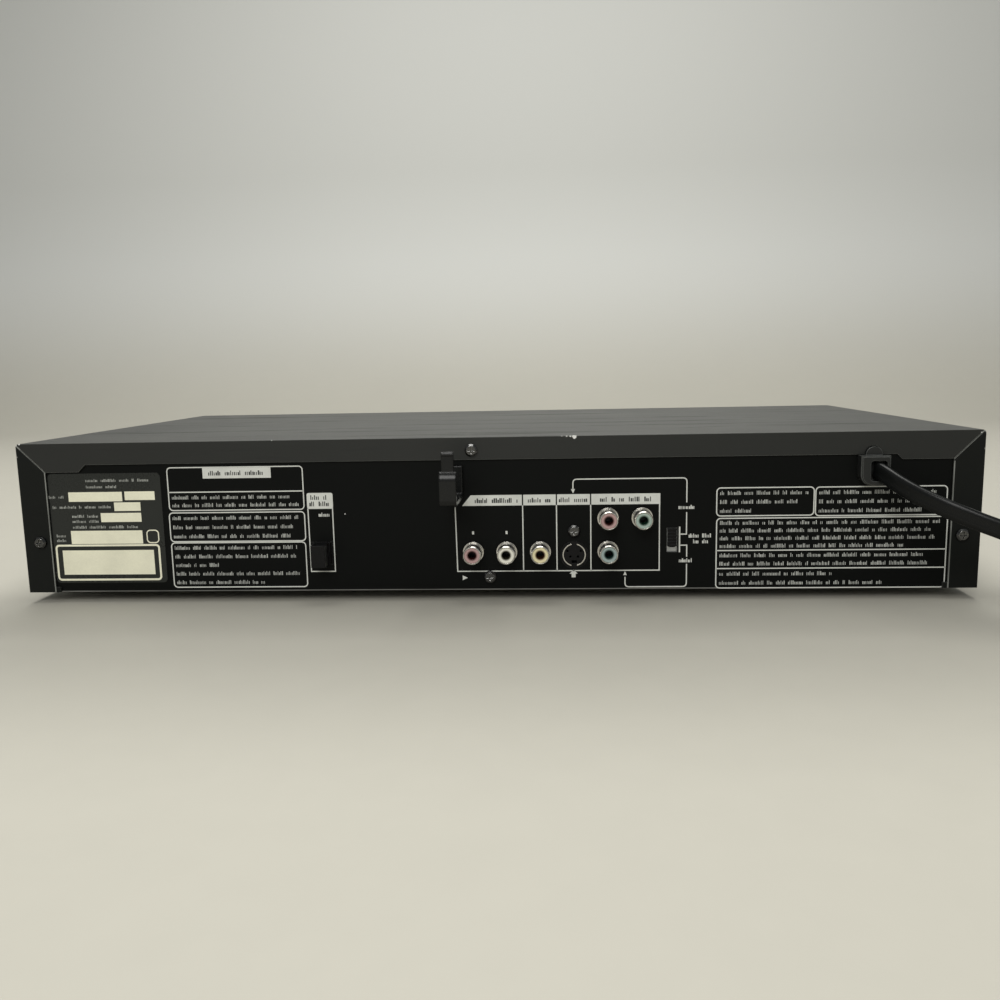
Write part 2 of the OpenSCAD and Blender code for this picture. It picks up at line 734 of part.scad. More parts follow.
module round_button(x, z) {
    push_button(x, z) {
        difference() {
            along_y([x, front_y + 0.2, z], button_d / 2, fascia_in + rest_gap + e - front_y - 0.2);
            along_y([x, front_y - 0.6, z], button_d / 2 - 2.2, 1.1);
        }
        along_y([x, fascia_in + rest_gap, z], button_d / 2 + cap_gap + cap_lip, cap_lip_t);
    }
}

module power_button() color("#8d9092") round_button(power_x, button_z);
module play_button() color("#8d9092") round_button(play_x, button_z);
module stop_button() color("#8d9092") round_button(stop_x, button_z);

module open_button() color("#8d9092") push_button(open_x, open_z) {
    carry_y(front_y + 0.2, fascia_in + rest_gap + e - front_y - 0.2) translate([open_x, open_z])
        rounded(open_w, open_h, 2.8);
    carry_y(fascia_in + rest_gap, cap_lip_t) translate([open_x, open_z])
        square([open_w + 2 * (cap_gap + cap_lip), open_h + 2 * (cap_gap + cap_lip)], center = true);
}

// The rocker tilts about a vertical pin held by a bracket behind the wall
rocker_pin_y = fascia_in + 2.6;
rocker_pin_r = 1;

module skip_rocker() color("#8d9092") difference() {
    union() {
        carry_y(front_y + 1, fascia_in + 1 - front_y - 1) translate([skip_x, button_z])
            rounded(skip_w, skip_h, 2.8);
        box([skip_x - 3, skip_x + 3], [fascia_in + 1 - e, rocker_pin_y + 2.2],
            [button_z - skip_h / 2, button_z + skip_h / 2]);
        for (s = [-1, 1]) along_y([skip_x + s * 11, fascia_in + 1 - e, button_z], 1.6,
            rocker_reach - fascia_in - 1);
    }
    translate([skip_x, rocker_pin_y, button_z - skip_h])
        cylinder(r = rocker_pin_r + shaft_play, h = 2 * skip_h);
}

rocker_reach = tact_y - 11 * sin(rocker_tilt) - rest_gap;

// ---------------------------------------------------------------- boards

module board_holes(posts) {
    for (p = posts) translate([p[0], p[1], board_z - 1]) cylinder(r = screw_r + 0.3, h = 4);
}

module main_board() color("#1f5c38") difference() {
    union() {
        box([main_left, main_right], [main_front, main_rear], [board_z, board_top]);
        box([wing_left, main_right], [wing_front, main_front + e], [board_z, board_top]);
    }
    board_holes(main_posts());
}

module power_board() color("#8a6a35") difference() {
    box([power_left, power_right], [power_front, power_rear], [board_z, board_top]);
    board_holes(power_posts());
}

module main_chips() color("#202020") {
    chip_x = wing_left + chip_in;
    memory_x = wing_left + memory_in;
    box([chip_x - 14, chip_x + 14], [10, 38], [board_top, board_top + 2.2]);
    for (y = [16, 34]) box([memory_x, memory_x + 18], [y, y + 11], [board_top, board_top + 1.6]);
    box([chip_x - 10, chip_x + 10], [-32, -12], [board_top, board_top + 2]);
    box([servo_x - servo_side / 2, servo_x + servo_side / 2], [main_front + 6, main_front + 6 + servo_side],
        [board_top, board_top + 1.8]);
    box([chip_x - audio_w - 2, chip_x - 2], [audio_y - 5, audio_y + 5], [board_top, board_top + 1.8]);
}

module transformer() color("#c9b25a") translate([power_right - transformer_in, 4, board_top]) {
    box([-20, 20], [-18, 18], [0, 3]);
    box([-16, 16], [-12, 12], [3, 24]);
    box([-20, 20], [-6, 6], [3, 28]);
}

module capacitor(x, y, r, h) {
    translate([x, y, board_top]) difference() {
        cylinder(r = r, h = h);
        translate([0, 0, h - 0.4]) difference() {
            cylinder(r = r - 0.6, h = 1);
            for (a = [0, 90]) rotate([0, 0, a]) translate([-r, -0.3, -1]) cube([2 * r, 0.6, 3]);
        }
    }
}

module capacitors() color("#23385e") {
    capacitor(power_right - 16, -42, 9, 30);
    for (y = [8, 24, 40]) capacitor(power_right - 16, y, 5, 20);
    capacitor(power_right - 40, 44, 4, 14);
    capacitor(60, main_front + 10, 4, 11);
    capacitor(72, main_front + 12, 4, 11);
    for (x = [66, 78]) capacitor(wing_left + x, 76, 3, 8);
}

module heat_sink() color("#a8aaab") translate([power_left + 4, -20, board_top]) {
    box([8, 10.5], [0, 44], [0, 34]);
    for (i = [0 : 5]) box([0, 8 + e], [i * 8.3, 1.5 + i * 8.3], [0, 34]);
}

// ---------------------------------------------------------------- rear sockets

module jack_housings() color("#2a2a2b") difference() {
    half = jack_pitch / 2 - 0.2;
    y0 = panel_in - sheet_gap - housing_d;
    union() {
        box([columns[1] - half, columns[0] + half], [y0, y0 + housing_d],
            [board_top, jack_row + housing_half]);
        box([columns[3] - half, columns[2] + half], [y0, y0 + housing_d], [board_top, jack_screw_z + 4]);
        box([columns[5] - half, columns[4] + half], [y0, y0 + housing_d],
            [board_top, upper_row + housing_half]);
    }
    for (c = jack_centres())
        along_y([c[0], panel_in - jack_depth, c[1]], jack_d / 2 + shaft_play, jack_depth);
    along_y([din_x, panel_in - 9, din_z], din_core_r + shaft_play, 9);
    along_y([din_x, panel_y - screw_len - 1, jack_screw_z], screw_core_r, screw_len + 1);
}

module jack_shells() color("#b8b4a8") {
    for (c = jack_centres()) translate([c[0], 0, c[1]]) difference() {
        union() {
            along_y([0, panel_in - jack_depth, 0], jack_d / 2,
                jack_depth + panel_t + rear_y - panel_y + jack_out - 0.4);
            along_y([0, panel_y, 0], jack_flange_d / 2, 1.2);
            translate([0, rear_y + jack_out - 0.4, 0]) rotate([-90, 0, 0])
                cylinder(r1 = jack_d / 2, r2 = jack_d / 2 - 0.35, h = 0.4);
        }
        along_y([0, panel_in - jack_depth - 1, 0], jack_d / 2 - shell_wall, jack_depth + 30);
    }
    // Shield of the round video socket, open at the top and bottom
    translate([din_x, 0, din_z]) difference() {
        along_y([0, panel_in - 7, 0], din_d / 2, 7 + panel_t + 0.8);
        along_y([0, panel_in - 8, 0], din_d / 2 - 0.5, 20);
        box([-1.2, 1.2], [panel_in - 8, rear_y + 5], [-10, 10]);
    }
}

module insert(c) {
    difference() {
        along_y([c[0], panel_in - jack_depth, c[1]], insert_r,
            jack_depth + rear_y + jack_out - panel_in - 0.5);
        along_y([c[0], rear_y - 2, c[1]], jack_bore_d / 2, jack_out + 3);
    }
}

module insert_red() color("#b5585a") {
    insert(jack_centres()[0]);
    insert(jack_centres()[3]);
}

module insert_white() color("#e9e6dc") insert(jack_centres()[1]);
module insert_yellow() color("#e3cf7a") insert(jack_centres()[2]);
module insert_green() color("#5d8a6a") insert(jack_centres()[4]);
module insert_blue() color("#4f7f8d") insert(jack_centres()[5]);

module s_video_core() color("#151515") translate([din_x, 0, din_z]) difference() {
    face = panel_y + 0.3;
    along_y([0, panel_in - 9, 0], din_core_r, face - panel_in + 9);
    // Ring groove for the shield
    difference() {
        along_y([0, panel_in - 7, 0], din_d / 2 + shaft_play, 20);
        along_y([0, panel_in - 8, 0], din_d / 2 - 0.5 - shaft_play, 30);
        box([-1.1, 1.1], [panel_in - 8, rear_y + 5], [-10, 10]);
    }
    for (x = [-1, 1], z = [-1, 1]) along_y([x * (z < 0 ? 1.7 : 3), face - 5, z * 1.3 + 0.4], 0.5, 6);
    box([-1.2, 1.2], [face - 4, face + 1], [-3.9, -2.6]);
}

module optical_jack() color("#17181a") difference() {
    union() {
        box([optical_x - 6.5, optical_x + 6.5], [panel_in - sheet_gap - 12, panel_in - sheet_gap],
            [board_top, jack_row + 8]);
        carry_y(panel_in - sheet_gap - e, panel_y - panel_in + sheet_gap + e)
            translate([optical_x, jack_row])
            square([optical_w, optical_h], center = true);
    }
    carry_y(panel_y - 10, 12) translate([optical_x, jack_row]) square(optical_hole, center = true);
}

module optical_cap() color("#1d1e20") {
    carry_y(panel_y - 8, 8 + rest_gap + e) translate([optical_x, jack_row])
        square(optical_plug, center = true);
    carry_y(panel_y + rest_gap, 1.4) translate([optical_x, jack_row])
        square([optical_w - 1.6, optical_tab_h], center = true);
    carry_y(panel_y + rest_gap + 1.4 - e, optical_out - 1.7) translate([optical_x - 0.2, jack_row])
        square([optical_tab_w, optical_tab_h], center = true);
}

module switch_frame() color("#a9a69c") difference() {
    box([switch_x - 5, switch_x + 5], [panel_in - 7, panel_in - sheet_gap], [board_top, switch_mid + 8.5]);
    // Hollow that the stem's foot runs in, and the slot in the face
    box([switch_x - 2.4, switch_x + 2.4], [panel_in - 6, panel_in - 1.2], [switch_mid - 6, switch_mid + 6]);
    box([switch_x - 1.4, switch_x + 1.4], [panel_in - 6, panel_in + 1],
        [switch_mid - stem_h / 2 - switch_stroke / 2 - 0.4,
            switch_mid + stem_h / 2 + switch_stroke / 2 + 0.4]);
}

module switch_knob() color("#161616") {
    z = switch_mid + switch_stroke / 2;
    difference() {
        box([switch_x - knob_w / 2, switch_x + knob_w / 2], [panel_in + 0.2, panel_y + 0.6],
            [z - knob_h / 2, z + knob_h / 2]);
        for (i = [0 : 4]) box([switch_x - 3, switch_x + 3], [panel_y + 0.1, panel_y + 2],
            [z - 3.25 + i * 1.4, z - 2.35 + i * 1.4]);
    }
    box([switch_x - 1, switch_x + 1], [panel_in - 3, panel_in + 0.2 + e], [z - stem_h / 2, z + stem_h / 2]);
    box([switch_x - 2, switch_x + 2], [panel_in - 4, panel_in - 1.2 - rest_gap],
        [z - stem_h / 2, z + stem_h / 2]);
}

// Outline of the strain relief, flat at the top and round at the bottom, shrunk by inset
module relief_outline(inset) {
    w = relief_w - 2 * inset;
    h = relief_h - 2 * inset;
    r = relief_r - inset;
    translate([relief_x - w / 2, relief_z - h / 2 + r]) square([w, h - r]);
    translate([relief_x - w / 2 + r, relief_z - h / 2]) square([w - 2 * r, r + e]);
    for (s = [-1, 1]) translate([relief_x + s * (w / 2 - r), relief_z - h / 2 + r]) circle(r);
}

module strain_relief() color("#3b3c3c") {
    difference() {
        union() {
            carry_y(panel_in - 9, 9 - e) relief_outline(0);
            carry_y(panel_in - 0.5, panel_t + 1) relief_outline(relief_waist);
            carry_y(panel_y + sheet_gap, rear_y - panel_y - sheet_gap + relief_out - 1) relief_outline(0);
            carry_y(rear_y + relief_out - 1 - e, 1 + e) relief_outline(0.5);
        }
        carry_y(rear_y + 1.5, relief_out + 2) translate([mouth_x, relief_z - 0.2])
            rounded(mouth_w, mouth_h, 1.2);
    }
    // Tab that closes the notch in the cover's flange
    intersection() {
        along_y([relief_x, panel_y + sheet_gap, flange_z], relief_tab_r, 2.4);
        box([relief_x - 10, relief_x + 10], [0, rear_y + 10], [flange_z - 0.4, flange_z + 10]);
    }
}

hook_peg_r = 1.6;
function hook_pegs() = [hook_z + 2.6, hook_z + hook_base_h - 2.6];

// Open hook that the stored cord hangs in: a base on the panel, a floor, and a front leaf with a narrow tip
module cord_hook() color("#1a1a1b") {
    x0 = hook_x - hook_w / 2;
    out = rear_y + hook_out;
    base_y = panel_y + sheet_gap;
    box([x0, x0 + hook_w], [base_y, base_y + 1.8], [hook_z, hook_z + hook_base_h]);
    for (z = hook_pegs()) along_y([hook_x, panel_in - 1.4, z], hook_peg_r, base_y - panel_in + 1.4 + e);
    carry_x(x0, hook_w) difference() {
        union() {
            translate([base_y + 1.8 - e, hook_z]) square([out - base_y - 1.8 - 3, hook_t]);
            translate([out - 3, hook_z + 3]) circle(3);
            translate([out - 3, hook_z + 3]) square([3, hook_front_h - 3 - hook_curl]);
            translate([out - hook_curl, hook_z + hook_front_h - hook_curl]) circle(hook_curl);
            translate([out - 8, hook_z]) square([5, 3]);
        }
        translate([out - hook_t - 20, hook_z + hook_t]) square([20, 30]);
    }
    box([hook_x - hook_tip_w / 2, hook_x + hook_tip_w / 2], [out - hook_t - 1.2, out - hook_t + 0.4],
        [hook_z + hook_front_h - 5, hook_z + hook_tip_h]);
    along_x([hook_x - hook_tip_w / 2, out - hook_t - 0.2, hook_z + hook_tip_h - 1], 1.1, hook_tip_w);
}

// ---------------------------------------------------------------- mains lead

// Flat cord outline: s across the wide way, t across the thin way
cord_outline = [for (a = [0 : 45 : 315]) let (c = cos(a + 22.5), s = sin(a + 22.5))
    [cord_w / 2 * sign(c) * pow(abs(c), 0.5) / pow(cos(22.5), 0.5),
     cord_t / 2 * sign(s) * pow(abs(s), 0.6) / pow(cos(22.5), 0.6)]];
function unit(v) = v / norm(v);
function smooth(t) = let (c = max(0, min(1, t))) c * c * (3 - 2 * c);
function heading(p, i) = unit(p[min(i + 1, len(p) - 1)] - p[max(i - 1, 0)]);
// Direction of the wide side: it turns between two shares of the route, here from upright to level
function wide_way(p, i, from, to) =
    let (t = heading(p, i), side = unit(cross(t, [0, 0, 1])), up = cross(side, t),
        a = from + (to - from) * smooth((i / (len(p) - 1) - turn_from) / (turn_to - turn_from)))
    cos(a) * up + sin(a) * side;
function cord_ring(p, i, from, to) =
    let (w = wide_way(p, i, from, to), n = cross(w, heading(p, i)))
    [for (q = cord_outline) p[i] + q[0] * w + q[1] * n];

module flat_cord(p, from, to) {
    n = len(cord_outline);
    last = len(p) - 1;
    points = [for (i = [0 : last]) each cord_ring(p, i, from, to)];
    sides = [for (i = [0 : last - 1], k = [0 : n - 1])
        [i * n + k, i * n + (k + 1) % n, (i + 1) * n + (k + 1) % n, (i + 1) * n + k]];
    polyhedron(points, concat([[for (k = [n - 1 : -1 : 0]) k]], sides,
        [[for (k = [0 : n - 1]) last * n + k]]), convexity = 6);
}

module power_cord() color("#222323") translate(cord_shift) {
    flat_cord(lead_route, 0, 90);
    flat_cord(tail_route, 90, 90);
}

module cord_coil() color("#222323") translate(cord_shift + [coil_c[0], coil_c[1], coil_z]) rotate_extrude()
    translate([coil_r - coil_turns_w * cord_w / 2, 0])
        square([coil_turns_w * cord_w, coil_turns_h * cord_t]);

module cord_tie() color("#151515") translate(cord_shift + [coil_c[0], coil_c[1], 0]) rotate([0, 0, 210]) {
    r0 = coil_r - coil_turns_w * cord_w / 2 - 0.9;
    r1 = coil_r + coil_turns_w * cord_w / 2 + 0.9;
    h = coil_z + coil_turns_h * cord_t + 0.9;
    difference() {
        box([r0, r1], [-2.5, 2.5], [0, h]);
        difference() {
            translate([0, 0, coil_z - 0.05]) cylinder(r = r1 - 0.8, h = h - 0.8 - coil_z);
            translate([0, 0, -1]) cylinder(r = r0 + 0.8, h = 40);
        }
    }
}

module at_plug() {
    translate(cord_shift + plug_at) rotate([0, 0, plug_turn]) children();
}

module power_plug() color("#1e1f1f") at_plug() {
    // Ribbed neck that takes the cord, and the moulded grip
    translate([14, 0, plug_z]) rotate([0, 90, 0]) difference() {
        linear_extrude(26) rounded(15, 25, 4.5);
        for (i = [0 : 2]) for (s = [-1, 1]) translate([s * 8, 0, 6 + i * 4])
            cube([1.6, 18, 1.6], center = true);
    }
    translate([0, 0, 3.6]) rotate([0, 90, 0]) linear_extrude(5) rounded(7.2, 11, 3);
    translate([5 - e, 0, 5]) rotate([0, 90, 0]) linear_extrude(5 + e) rounded(9, 14, 3.5);
    translate([10 - e, 0, 6.4]) rotate([0, 90, 0]) linear_extrude(4 + 2 * e) rounded(12, 19, 4);
}

module plug_blades() color("#c8b070") at_plug() for (s = [-1, 1]) difference() {
    translate([40, s * blade_gap / 2 - 0.75, plug_z - 3.2]) cube([16.5, 1.5, 6.4]);
    translate([53, s * blade_gap / 2 + 2, plug_z]) rotate([90, 0, 0]) cylinder(r = 1.6, h = 4);
}

// ---------------------------------------------------------------- loader

module loader_frame() color("#33363a") {
    difference() {
        union() {
            box([-frame_out, frame_out], [frame_front, frame_rear], [deck_z, deck_top]);
            mirrored_x() box([frame_in, frame_out], [frame_front, frame_rear], [frame_z, bridge_z]);
            for (s = [-1, 1], y = [-14, 14]) translate([s * boss_x, disc_y + y, deck_z])
                cylinder(r = 3, h = bridge_z - deck_z);
            for (p = loader_posts())
                box([min(p[0] - sign(p[0]) * 8, p[0] + sign(p[0]) * 4.5), max(p[0] - sign(p[0]) * 8,
                p[0] + sign(p[0]) * 4.5)], [p[1] - 5, p[1] + 5], [frame_z, frame_z + 2.5]);
            // Ledges under the tray and lips over it
            mirrored_x() box([frame_in - ledge_w, frame_in + e], [frame_front, frame_rear],
                [tray_z - rest_gap - 2.4, tray_z - rest_gap]);
            mirrored_x() box([frame_in - 2.5, frame_in + e], [frame_front, frame_front + 16],
                [tray_top + slide_gap, tray_top + slide_gap + 1.6]);
            // Pivot blocks of the pickup deck
            mirrored_x() box([deck2_half + 1, deck2_half + 1 + pivot_len], [pivot_y - 5, pivot_y + 5],
                [deck_top - e, pivot_z + 4]);
            // Axle shoulders and motor seat
            for (x = [drive_x, belt_x]) translate([x, gear_y, deck_top - e])
                cylinder(r = 2.4, h = 1 - rest_gap);
            // Rear wall that stops the tray
            box([-frame_in, -frame_in + 12], [frame_rear - 2.5, frame_rear], [deck_top, tray_top + 1]);
            box([frame_in - 12, frame_in], [frame_rear - 2.5, frame_rear], [deck_top, tray_top + 1]);
            slider_hangers();
        }
        // Window for the pickup deck
        box([-deck2_half - 1, deck2_half + 1], [slider_y + slider_t + 0.4, deck2_rear + 6],
            [deck_z - 1, deck_top + 1]);
        for (x = [-deck2_half - 10, deck2_half - 1])
            box([x, x + 11], [pivot_y - 8, pivot_y + 8], [deck_z - 30, deck_z - 1]);
        for (s = [-1, 1]) along_x([s > 0 ? deck2_half : -deck2_half - 1 - pivot_len - 1, pivot_y, pivot_z],
            pivot_r + shaft_play, pivot_len + 2);
        translate([motor_x, gear_y, deck_z - 1]) cylinder(r = 3, h = 4);
        for (s = [-1, 1], y = [-14, 14]) translate([s * boss_x, disc_y + y, bridge_z - 8])
            cylinder(r = screw_core_r, h = 9);
        for (p = loader_posts()) translate([p[0], p[1], frame_z - 1]) cylinder(r = screw_r + 0.3, h = 5);
    }
    translate([drive_x, gear_y, deck_top]) cylinder(r = axle_r, h = drive_top - deck_top - 0.2);
    translate([belt_x, gear_y, deck_top]) cylinder(r = axle_r, h = belt_gear_top - deck_top + 0.3);
}

// J-shaped hangers under the deck that carry the lift slider
module slider_hangers() {
    for (x = [-14, 14]) {
        box([x - 4, x + 4], [slider_y - slide_gap - 1.6, slider_y - slide_gap],
            [slider_z - rest_gap - 1.4, deck_z + e]);
        box([x - 4, x + 4], [slider_y - slide_gap - 1.6, slider_y + slider_t + 0.2],
            [slider_z - rest_gap - 1.4, slider_z - rest_gap]);
    }
}

module clamp_bridge() color("#b0b2b3") difference() {
    box([-boss_x - 3, boss_x + 3], [disc_y - bridge_half, disc_y + bridge_half],
        [bridge_z, bridge_z + bridge_t]);
    translate([0, disc_y, bridge_z - 1]) cylinder(r = puck_neck_r + 0.6, h = 4);
    for (x = [-40, 40]) translate([x, disc_y, bridge_z - 1]) cylinder(r = 9, h = 4);
    for (x = [-boss_x, boss_x], y = [-14, 14]) translate([x, disc_y + y, bridge_z - 1])
        cylinder(r = screw_r + 0.3, h = 4);
}

module clamp_puck() color("#e4e2da") translate([0, disc_y, 0]) difference() {
    union() {
        translate([0, 0, puck_z]) cylinder(r = puck_r, h = bridge_z - 0.9 - puck_z);
        translate([0, 0, bridge_z - 0.9 - e]) cylinder(r = puck_neck_r, h = bridge_t + 2);
        translate([0, 0, bridge_z + bridge_t + 0.9]) cylinder(r = puck_r + 0.5, h = 1.8);
    }
    translate([0, 0, puck_z - 1]) cylinder(r = hub_r + 0.5, h = 1 + hub_h + 0.5);
}

module disc_tray() color("#2d2f31") {
    difference() {
        box([-tray_w / 2, tray_w / 2], [tray_front, tray_rear], [tray_z, tray_top]);
        translate([0, disc_y, well_z]) cylinder(r = well_r, h = well_depth + 1);
        translate([0, disc_y, well_z - small_well_step]) cylinder(r = small_well_r, h = well_depth + 1);
        // Slot for the turntable and the pickup, open to the rear
        translate([0, disc_y, tray_z - 1]) cylinder(r = slot_w / 2, h = tray_h + 2);
        box([-slot_w / 2, slot_w / 2], [disc_y, tray_rear + 1], [tray_z - 1, tray_top + 1]);
        // Finger notches beside the disc
        for (s = [-1, 1]) translate([s * 42, disc_y - 44, well_z]) cylinder(r = 9, h = 10);
    }
    rack(rack_x, rack_back_x, gear_y - 4, tray_rear - 1, gear_y, rack_z, rack_h + e);
    // Catches that hold the door
    for (x = [-45, 45]) box([x - 6, x + 6], [tray_front - 1.6, tray_front + e], [tray_z + 1, tray_top - 1]);
}

module tray_door() color("#2b2d2f") difference() {
    carry_y(front_y, 4) translate([0, door_z]) rounded(door_w, door_h, 1);
    carry_y(front_y - 1, 1.4) translate([0, door_z - door_h / 2 + 2])
        square([door_w - 16, 0.8], center = true);
    for (x = [-45, 45]) box([x - 6.2, x + 6.2], [tray_front - 1.8, tray_front + 1],
        [tray_z + 0.8, tray_top - 0.8]);
}

module drive_gear() color("#e8e6df") translate([drive_x, gear_y, 0]) difference() {
    union() {
        translate([0, 0, wheel_z]) gear(wheel_teeth, 0, wheel_h);
        translate([0, 0, wheel_z + wheel_h - e])
            gear(rack_pinion_teeth, 180 + 180 / rack_pinion_teeth, drive_top - wheel_z - wheel_h);
        translate([0, 0, deck_top + 1]) cylinder(r = 2.4, h = wheel_z - deck_top - 1 + e);
    }
    translate([0, 0, deck_z]) cylinder(r = axle_r + shaft_play, h = 40);
}

module belt_gear() color("#e8e6df") translate([belt_x, gear_y, 0]) difference() {
    union() {
        grooved_pulley(belt_big_r);
        translate([0, 0, belt_z + pulley_h - e])
            gear(pinion_teeth, 180 + 180 / pinion_teeth, belt_gear_top - belt_z - pulley_h);
    }
    translate([0, 0, deck_z]) cylinder(r = axle_r + shaft_play, h = 40);
}

// A pulley whose groove the belt lies in with a little play
module grooved_pulley(r) {
    rim = (pulley_h - belt_t - 2 * shaft_play) / 2;
    translate([0, 0, belt_z]) {
        cylinder(r = r - shaft_play, h = pulley_h);
        cylinder(r = r + flange_over, h = rim);
        translate([0, 0, pulley_h - rim]) cylinder(r = r + flange_over, h = rim);
    }
}

module motor_pulley() color("#d6d3c8") translate([motor_x, gear_y, 0]) difference() {
    grooved_pulley(belt_small_r);
    translate([0, 0, belt_z - 1]) cylinder(r = motor_shaft_r + shaft_play, h = pulley_h + 2);
}

// Path of the belt round both pulleys, moved outwards by extra
function belt_path(extra) =
    let (d = motor_x - belt_x, a = acos((belt_big_r - belt_small_r) / d), steps = 24)
    concat(
        [for (i = [0 : steps])
            let (t = a + (360 - 2 * a) * i / steps) (belt_big_r + extra) * [cos(t), sin(t)]],
        [for (i = [0 : steps])
            let (t = -a + 2 * a * i / steps) [d, 0] + (belt_small_r + extra) * [cos(t), sin(t)]]);

module drive_belt() color("#1c1c1c") translate([belt_x, gear_y, belt_z + (pulley_h - belt_t) / 2])
    linear_extrude(belt_t)
    difference() {
        polygon(belt_path(belt_t));
        polygon(belt_path(0.03));
    }

module loading_motor() color("#b4b6b8") translate([motor_x, gear_y, 0]) {
    translate([0, 0, deck_z - 19]) cylinder(r = loading_motor_r, h = 19);
    translate([0, 0, deck_z - e]) cylinder(r = 2.6, h = deck_t);
    translate([0, 0, deck_z]) cylinder(r = motor_shaft_r, h = belt_z + pulley_h + 0.5 - deck_z);
}

// ---------------------------------------------------------------- lift and pickup deck

module lift_slider() color("#e0ded5") difference() {
    box([-lift_stroke - 16, 22], [slider_y, slider_y + slider_t], [slider_z, slider_top]);
    // Sloping slot that lowers the deck's pin as the slider moves towards +X
    slope = atan2(lift_drop, lift_stroke);
    run = sqrt(lift_drop * lift_drop + lift_stroke * lift_stroke);
    w = 2 * pin_r + 0.8;
    translate([0, slider_y - 1, pin_z]) {
        rotate([0, 180 - slope, 0]) translate([0, 0, e - w / 2]) cube([run, slider_t + 2, w - 2 * e]);
        along_y([0, 0, 0], w / 2, slider_t + 2);
        along_y([-lift_stroke, 0, -lift_drop], w / 2, slider_t + 2);
    }
}

module pickup_deck() color("#4a4d50") {
    difference() {
        union() {
            box([-deck2_half, deck2_half], [deck2_front, deck2_rear], [deck2_z, deck2_top]);
            box([-8, 8], [tab_y, deck2_front + e], [pin_z - 3, deck2_top]);
            // Rod holders
            for (x = [-rod_x, rod_x], y = [rod_front, rod_rear])
                box([x - 3.5, x + 3.5], [y - 3, y], [deck2_top - e, rod_z + 3.2]);
            // Legs of the sled motor
            for (y = [-8, 8]) translate([deck2_half - 3, sled_gear_y + y, stepper_top])
                cylinder(r = 2.4, h = deck2_z - stepper_top + e);
        }
        box([-sled_half - 1, sled_half + 1], [opening_front, opening_rear], [deck2_z - 1, deck2_top + 1]);
        translate([0, disc_y, deck2_z - 1]) cylinder(r = 3, h = 5);
        for (x = [-rod_x, rod_x], y = [rod_front, rod_rear])
            along_y([x, y - 4, rod_z], rod_r + shaft_play, 6);
    }
    along_y([0, pin_tip, pin_z], pin_r, tab_y - pin_tip + e);
    for (s = [-1, 1]) along_x([s > 0 ? deck2_half - e : -deck2_half - pivot_len, pivot_y, pivot_z],
        pivot_r, pivot_len + e);
}

module guide_rods() color("#c9cbcc") for (x = [-rod_x, rod_x])
    along_y([x, rod_front - 3, rod_z], rod_r, rod_rear - rod_front + 3);

module pickup_sled() color("#6d5f3c") {
    y1 = sled_front + sled_len;
    lens_y = disc_y + lens_r0;
    difference() {
        union() {
            box([-sled_half, sled_half], [sled_front, y1], [sled_z, sled_top]);
            for (s = [-1, 1]) box([s > 0 ? sled_half - e : -rod_x - 3, s > 0 ? rod_x + 3 : -sled_half + e],
                [sled_front + 4, y1 - 4], [deck2_top + rest_gap, sled_top]);
            translate([0, lens_y, sled_top - e]) cylinder(r = 6.5, h = platter_top - 2 - sled_top);
        }
        along_y([-rod_x, sled_front, rod_z], rod_r + shaft_play, sled_len);
        box([rod_x - rod_r - 0.1, rod_x + 10], [sled_front, y1],
            [rod_z - rod_r - 0.1, rod_z + rod_r + 0.1]);
        translate([0, lens_y, platter_top - 3.6]) cylinder(r = 2.6, h = 4);
    }
    box([10, 15], [sled_front + 2, y1 - 1], [sled_rack_z + sled_rack_h - e, sled_z + e]);
    rack(sled_rack_x, 13, sled_gear_y - sled_stroke - 2.6, sled_gear_y + 2.6, sled_gear_y, sled_rack_z,
        sled_rack_h);
}

module pickup_lens() color([0.55, 0.65, 0.8, 0.6]) translate([0, disc_y + lens_r0, platter_top - 3.6])
    rotate_extrude()
    intersection() {
        translate([0, -6.2]) circle(8);
        square([2.5, 2.4]);
    }

module sled_pinion() color("#e8e6df") translate([sled_gear_x, sled_gear_y, sled_rack_z + 0.1])
    difference() {
    gear(pinion_teeth, 180 + 180 / pinion_teeth, sled_rack_h - 0.2);
    translate([0, 0, -1]) cylinder(r = motor_shaft_r + shaft_play, h = 10);
}

module sled_motor() color("#b4b6b8") translate([0, 0, stepper_top]) {
    translate([sled_gear_x, sled_gear_y, -stepper_h]) cylinder(r = stepper_r, h = stepper_h);
    translate([0, 0, -1.2])
        box([sled_gear_x - 2, deck2_half - 0.4], [sled_gear_y - 11, sled_gear_y + 11], [0, 1.2]);
    translate([sled_gear_x, sled_gear_y, -e])
        cylinder(r = motor_shaft_r, h = sled_rack_z + sled_rack_h - stepper_top);
}

module spindle_motor() color("#a9abad") translate([0, disc_y, 0]) {
    translate([0, 0, deck2_z - spindle_h]) cylinder(r = spindle_r, h = spindle_h);
    translate([0, 0, deck2_z - e]) cylinder(r = motor_shaft_r, h = spindle_top - deck2_z);
}

module turntable() color("#303234") translate([0, disc_y, 0]) difference() {
    union() {
        translate([0, 0, deck2_top + 4]) cylinder(r = 5, h = platter_z - deck2_top - 4 + e);
        translate([0, 0, platter_z]) cylinder(r = platter_r, h = platter_top - platter_z);
        translate([0, 0, platter_top - e]) cylinder(r = hub_r, h = hub_h * 0.6);
        translate([0, 0, platter_top + hub_h * 0.6 - 2 * e])
            cylinder(r1 = hub_r, r2 = hub_r - 1.2, h = hub_h * 0.4);
    }
    translate([0, 0, deck2_top])
        cylinder(r = motor_shaft_r + shaft_play, h = spindle_top - deck2_top + 0.1);
}

